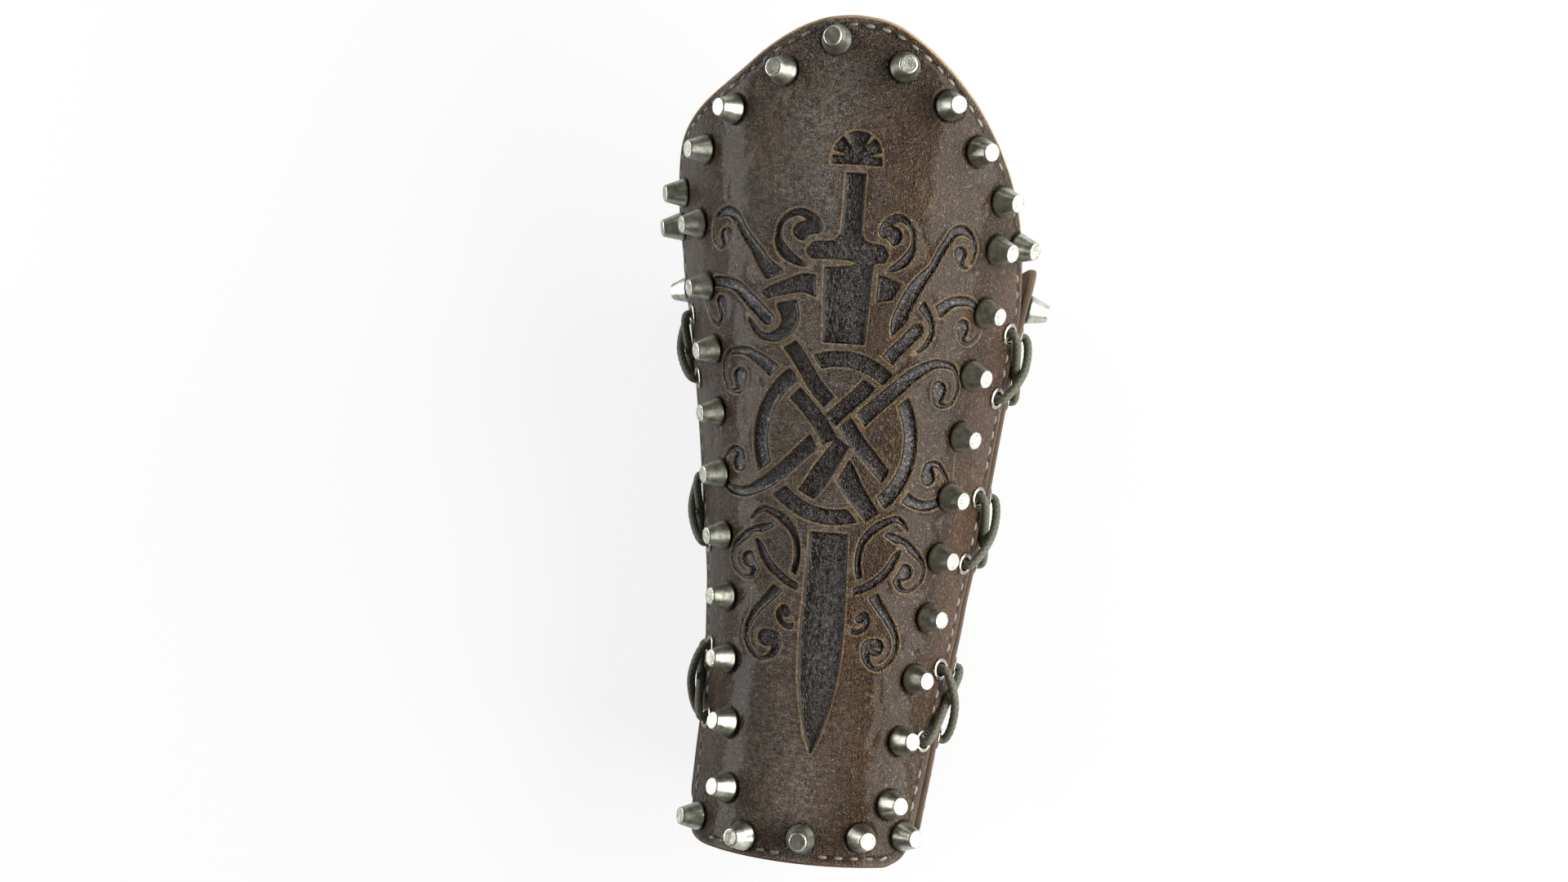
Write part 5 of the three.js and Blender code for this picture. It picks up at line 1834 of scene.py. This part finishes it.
def lace_tree(material):
    """Sweeps a ring along the path, and lifts crossing strands on its surface."""
    tree = bpy.data.node_groups.new("braid_lace", "GeometryNodeTree")
    face = tree.interface
    face.new_socket(name="Path", in_out="INPUT", socket_type="NodeSocketGeometry")
    for label, kind, default in (("Radius", "NodeSocketFloat", 0.0014), ("Step", "NodeSocketFloat", 0.0005),
                                 ("Strand", "NodeSocketFloat", 0.0022), ("Lift", "NodeSocketFloat", 0.00009),
                                 ("Sides", "NodeSocketInt", 16)):
        face.new_socket(name=label, in_out="INPUT", socket_type=kind).default_value = default
    face.new_socket(name="Lace", in_out="OUTPUT", socket_type="NodeSocketGeometry")
    given = tree.nodes.new("NodeGroupInput").outputs
    curve = put(tree, "GeometryNodeMeshToCurve", None, Mesh=given["Path"])
    even = put(tree, "GeometryNodeResampleCurve", None, Curve=curve.outputs[0])
    even.mode = "LENGTH"
    tree.links.new(given["Step"], even.inputs["Length"])
    where = tree.nodes.new("GeometryNodeSplineParameter")
    along = put(tree, "GeometryNodeStoreNamedAttribute", {"data_type": "FLOAT", "domain": "POINT"},
                Geometry=even.outputs[0], Name="run")
    tree.links.new(where.outputs["Length"], along.inputs["Value"])
    ring = put(tree, "GeometryNodeCurvePrimitiveCircle", None,
               Resolution=given["Sides"], Radius=given["Radius"])
    spot = tree.nodes.new("GeometryNodeSplineParameter")
    round_it = put(tree, "GeometryNodeStoreNamedAttribute", {"data_type": "FLOAT", "domain": "POINT"},
                   Geometry=ring.outputs[0], Name="turn")
    tree.links.new(spot.outputs["Factor"], round_it.inputs["Value"])
    tube = put(tree, "GeometryNodeCurveToMesh", None, Curve=along.outputs[0])
    tree.links.new(round_it.outputs[0], tube.inputs["Profile Curve"])
    number = {"data_type": "FLOAT"}
    run = put(tree, "GeometryNodeInputNamedAttribute", number, Name="run").outputs[0]
    turn = put(tree, "GeometryNodeInputNamedAttribute", number, Name="turn").outputs[0]
    phase = calc(tree, "MULTIPLY", calc(tree, "DIVIDE", run, given["Strand"]), 2 * math.pi)
    angle = calc(tree, "MULTIPLY", turn, 2 * math.pi * 4)
    one = calc(tree, "SINE", calc(tree, "ADD", angle, phase))
    two = calc(tree, "SINE", calc(tree, "SUBTRACT", angle, phase))
    strand = calc(tree, "MAXIMUM", one, two)
    normal = tree.nodes.new("GeometryNodeInputNormal").outputs[0]
    move = put(tree, "ShaderNodeVectorMath", {"operation": "SCALE"}, i0=normal)
    tree.links.new(calc(tree, "MULTIPLY", strand, given["Lift"]), move.inputs["Scale"])
    rib = put(tree, "GeometryNodeStoreNamedAttribute", {"data_type": "FLOAT", "domain": "POINT"},
              Geometry=tube.outputs[0], Name="rib")
    tree.links.new(calc(tree, "MULTIPLY_ADD", strand, 0.5, 0.5), rib.inputs["Value"])
    shaped = put(tree, "GeometryNodeSetPosition", None, Geometry=rib.outputs[0], Offset=move.outputs[0])
    smooth = put(tree, "GeometryNodeSetShadeSmooth", None, Geometry=shaped.outputs[0])
    real = put(tree, "GeometryNodeRealizeInstances", None, Geometry=smooth.outputs[0])
    finish = put(tree, "GeometryNodeSetMaterial", None, Geometry=real.outputs[0], Material=material)
    end = tree.nodes.new("NodeGroupOutput")
    tree.links.new(finish.outputs[0], end.inputs[0])
    return tree


def make_lace(side, name, tree):
    path = to_world(closed_curve(lace_route(side)))
    mesh = bpy.data.meshes.new(name + "_path")
    count = len(path)
    mesh.from_pydata([tuple(p) for p in path], [(k, (k + 1) % count) for k in range(count)], [])
    carrier = bpy.data.objects.new(name + "_path", mesh)
    scene.collection.objects.link(carrier)
    length = np.linalg.norm(np.roll(path, -1, 0) - path, axis=1).sum()
    print(name, "length mm", round(length * 1000))
    return as_mesh(carrier, tree, {"Sides": 16}, name)


cord_tree = lace_tree(lace_finish())
lace_left = make_lace(-1, "lace_cord_left", cord_tree)
lace_right = make_lace(1, "lace_cord_right", cord_tree)
closed_report(lace_left)
closed_report(lace_right)

# %% [markdown]
# ## Stitches
# A seam runs round both panels, a few millimetres in from the edge. Each visible stitch is a
# short, slightly flattened length of waxed thread that dives into the leather at both ends. The
# stitches stop where a stud or an eyelet stands in the way.

# %% Sew the seams


def thread_finish():
    material, tree, shader = new_material("thread_waxed")
    place = put(tree, "ShaderNodeTexCoord").outputs["Object"]
    tone = put(tree, "ShaderNodeAttribute", {"attribute_name": "tone"}).outputs["Fac"]
    twist = noise(tree, place, 2200.0, 2.0, 0.5)
    colour = blend(tree, tone, rgb(100, 96, 86), rgb(134, 129, 116))
    colour = blend(tree, ease(tree, twist, 0.45, 0.65, 0.0, 0.5), colour, rgb(84, 78, 68))
    tree.links.new(colour, shader.inputs["Base Color"])
    shader.inputs["Roughness"].default_value = 0.6
    bump = put(tree, "ShaderNodeBump", None, Height=twist, Strength=0.5, Distance=0.0002)
    tree.links.new(bump.outputs[0], shader.inputs["Normal"])
    return material


def stitch_form():
    """A short bar, oval in section, that sinks at both ends."""
    verts, faces = [], []
    columns, sides = 9, 8
    for i in range(columns):
        f = i / (columns - 1)
        x = (f - 0.5) * 3.7
        swell = math.sin(math.pi * f) ** 0.35 if 0 < f < 1 else 0.0
        sink = -0.55 * abs(2 * f - 1) ** 3
        for k in range(sides):
            a = 2 * math.pi * k / sides
            across = 0.62 * swell * math.cos(a)
            up = sink + 0.05 + 0.4 * swell * math.sin(a)
            verts.append((x * MM, across * MM, up * MM))
    for i in range(columns - 1):
        for k in range(sides):
            n = (k + 1) % sides
            faces.append((i * sides + k, (i + 1) * sides + k, (i + 1) * sides + n, i * sides + n))
    mesh = bpy.data.meshes.new("stitch_form")
    mesh.from_pydata(verts, [], faces)
    form = bmesh.new()
    form.from_mesh(mesh)
    bmesh.ops.remove_doubles(form, verts=form.verts, dist=1e-6)
    bmesh.ops.recalc_face_normals(form, faces=form.faces)
    form.to_mesh(mesh)
    form.free()
    mesh.polygons.foreach_set("use_smooth", [True] * len(mesh.polygons))
    piece = bpy.data.objects.new("stitch_form", mesh)
    scene.collection.objects.link(piece)
    return piece


def seam_places(outline, place, blocks, sign):
    """Evenly spaced places on the seam, with the outward and forward directions."""
    line = even_loop(inset(outline, 3.1), 5.35)
    ahead = np.roll(line, -1, 0)
    places, outs, alongs = [], [], []
    for here, there in zip(line, ahead):
        if any(np.hypot(here[0] - b[0], here[1] - b[1]) < b[2] for b in blocks):
            continue
        way = (there - here) / np.linalg.norm(there - here)
        side = np.array((-way[1], way[0]))
        spots = np.array([here - way * 0.5, here + way * 0.5, here - side * 0.5, here + side * 0.5, here])
        at = place(spots[:, 0], spots[:, 1], np.full(5, 0.3))
        run, cross = at[1] - at[0], at[3] - at[2]
        out = np.cross(run, cross) * sign
        places.append(to_world(at[4]))
        outs.append(turn_direction(out / np.linalg.norm(out)))
        alongs.append(turn_direction(run / np.linalg.norm(run)))
    return places, outs, alongs


def sew(name, outline, place, blocks, sign, tree, form, seed):
    carrier = points_carrier(name + "_places", *seam_places(outline, place, blocks, sign))
    values = {"Form": form, "Size": 1.0, "Size Change": 0.06, "Spin": 0.06, "Seed": seed}
    return as_mesh(carrier, tree, values, name)


STUD_CLEARANCE, EYELET_CLEARANCE = 6.9, 6.6


def blocks_of(studs, eyelets):
    """Round places on the hide that the seam leaves out."""
    return [(*c, STUD_CLEARANCE) for c in studs] + [(*c, EYELET_CLEARANCE) for c in eyelets]


thread_form = stitch_form()
thread_tree = repeat_tree("sew_stitches", thread_finish())
front_blocks = blocks_of(front_stud_places, front_eyelet_places)
back_blocks = blocks_of(back_stud_places, back_eyelet_places)
front_seam = sew("stitches_front", front_edge, on_front, front_blocks, 1.0, thread_tree, thread_form, 11)
back_seam = sew("stitches_back", back_rim, on_back, back_blocks, -1.0, thread_tree, thread_form, 12)
bpy.data.objects.remove(thread_form)
closed_report(front_seam)
closed_report(back_seam)

# %% [markdown]
# ## Hand over to the frame
# Every finished piece rides on the one body and stands for the solids that it replaces.

# %% Ride and replace
stud_nodes = [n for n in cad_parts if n.startswith("stud_")]
for piece, slot_name, nodes in (
    (front_piece, "leather", ["front_panel"]), (back_piece, "leather", ["back_panel"]),
    (stud_piece, "pewter", stud_nodes), (eyelet_piece, "pewter", []),
    (lace_left, "cord", ["lace_left"]), (lace_right, "cord", ["lace_right"]),
    (front_seam, "cord", []), (back_seam, "cord", []),
):
    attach(piece, "root")
    if nodes:
        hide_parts(*nodes)
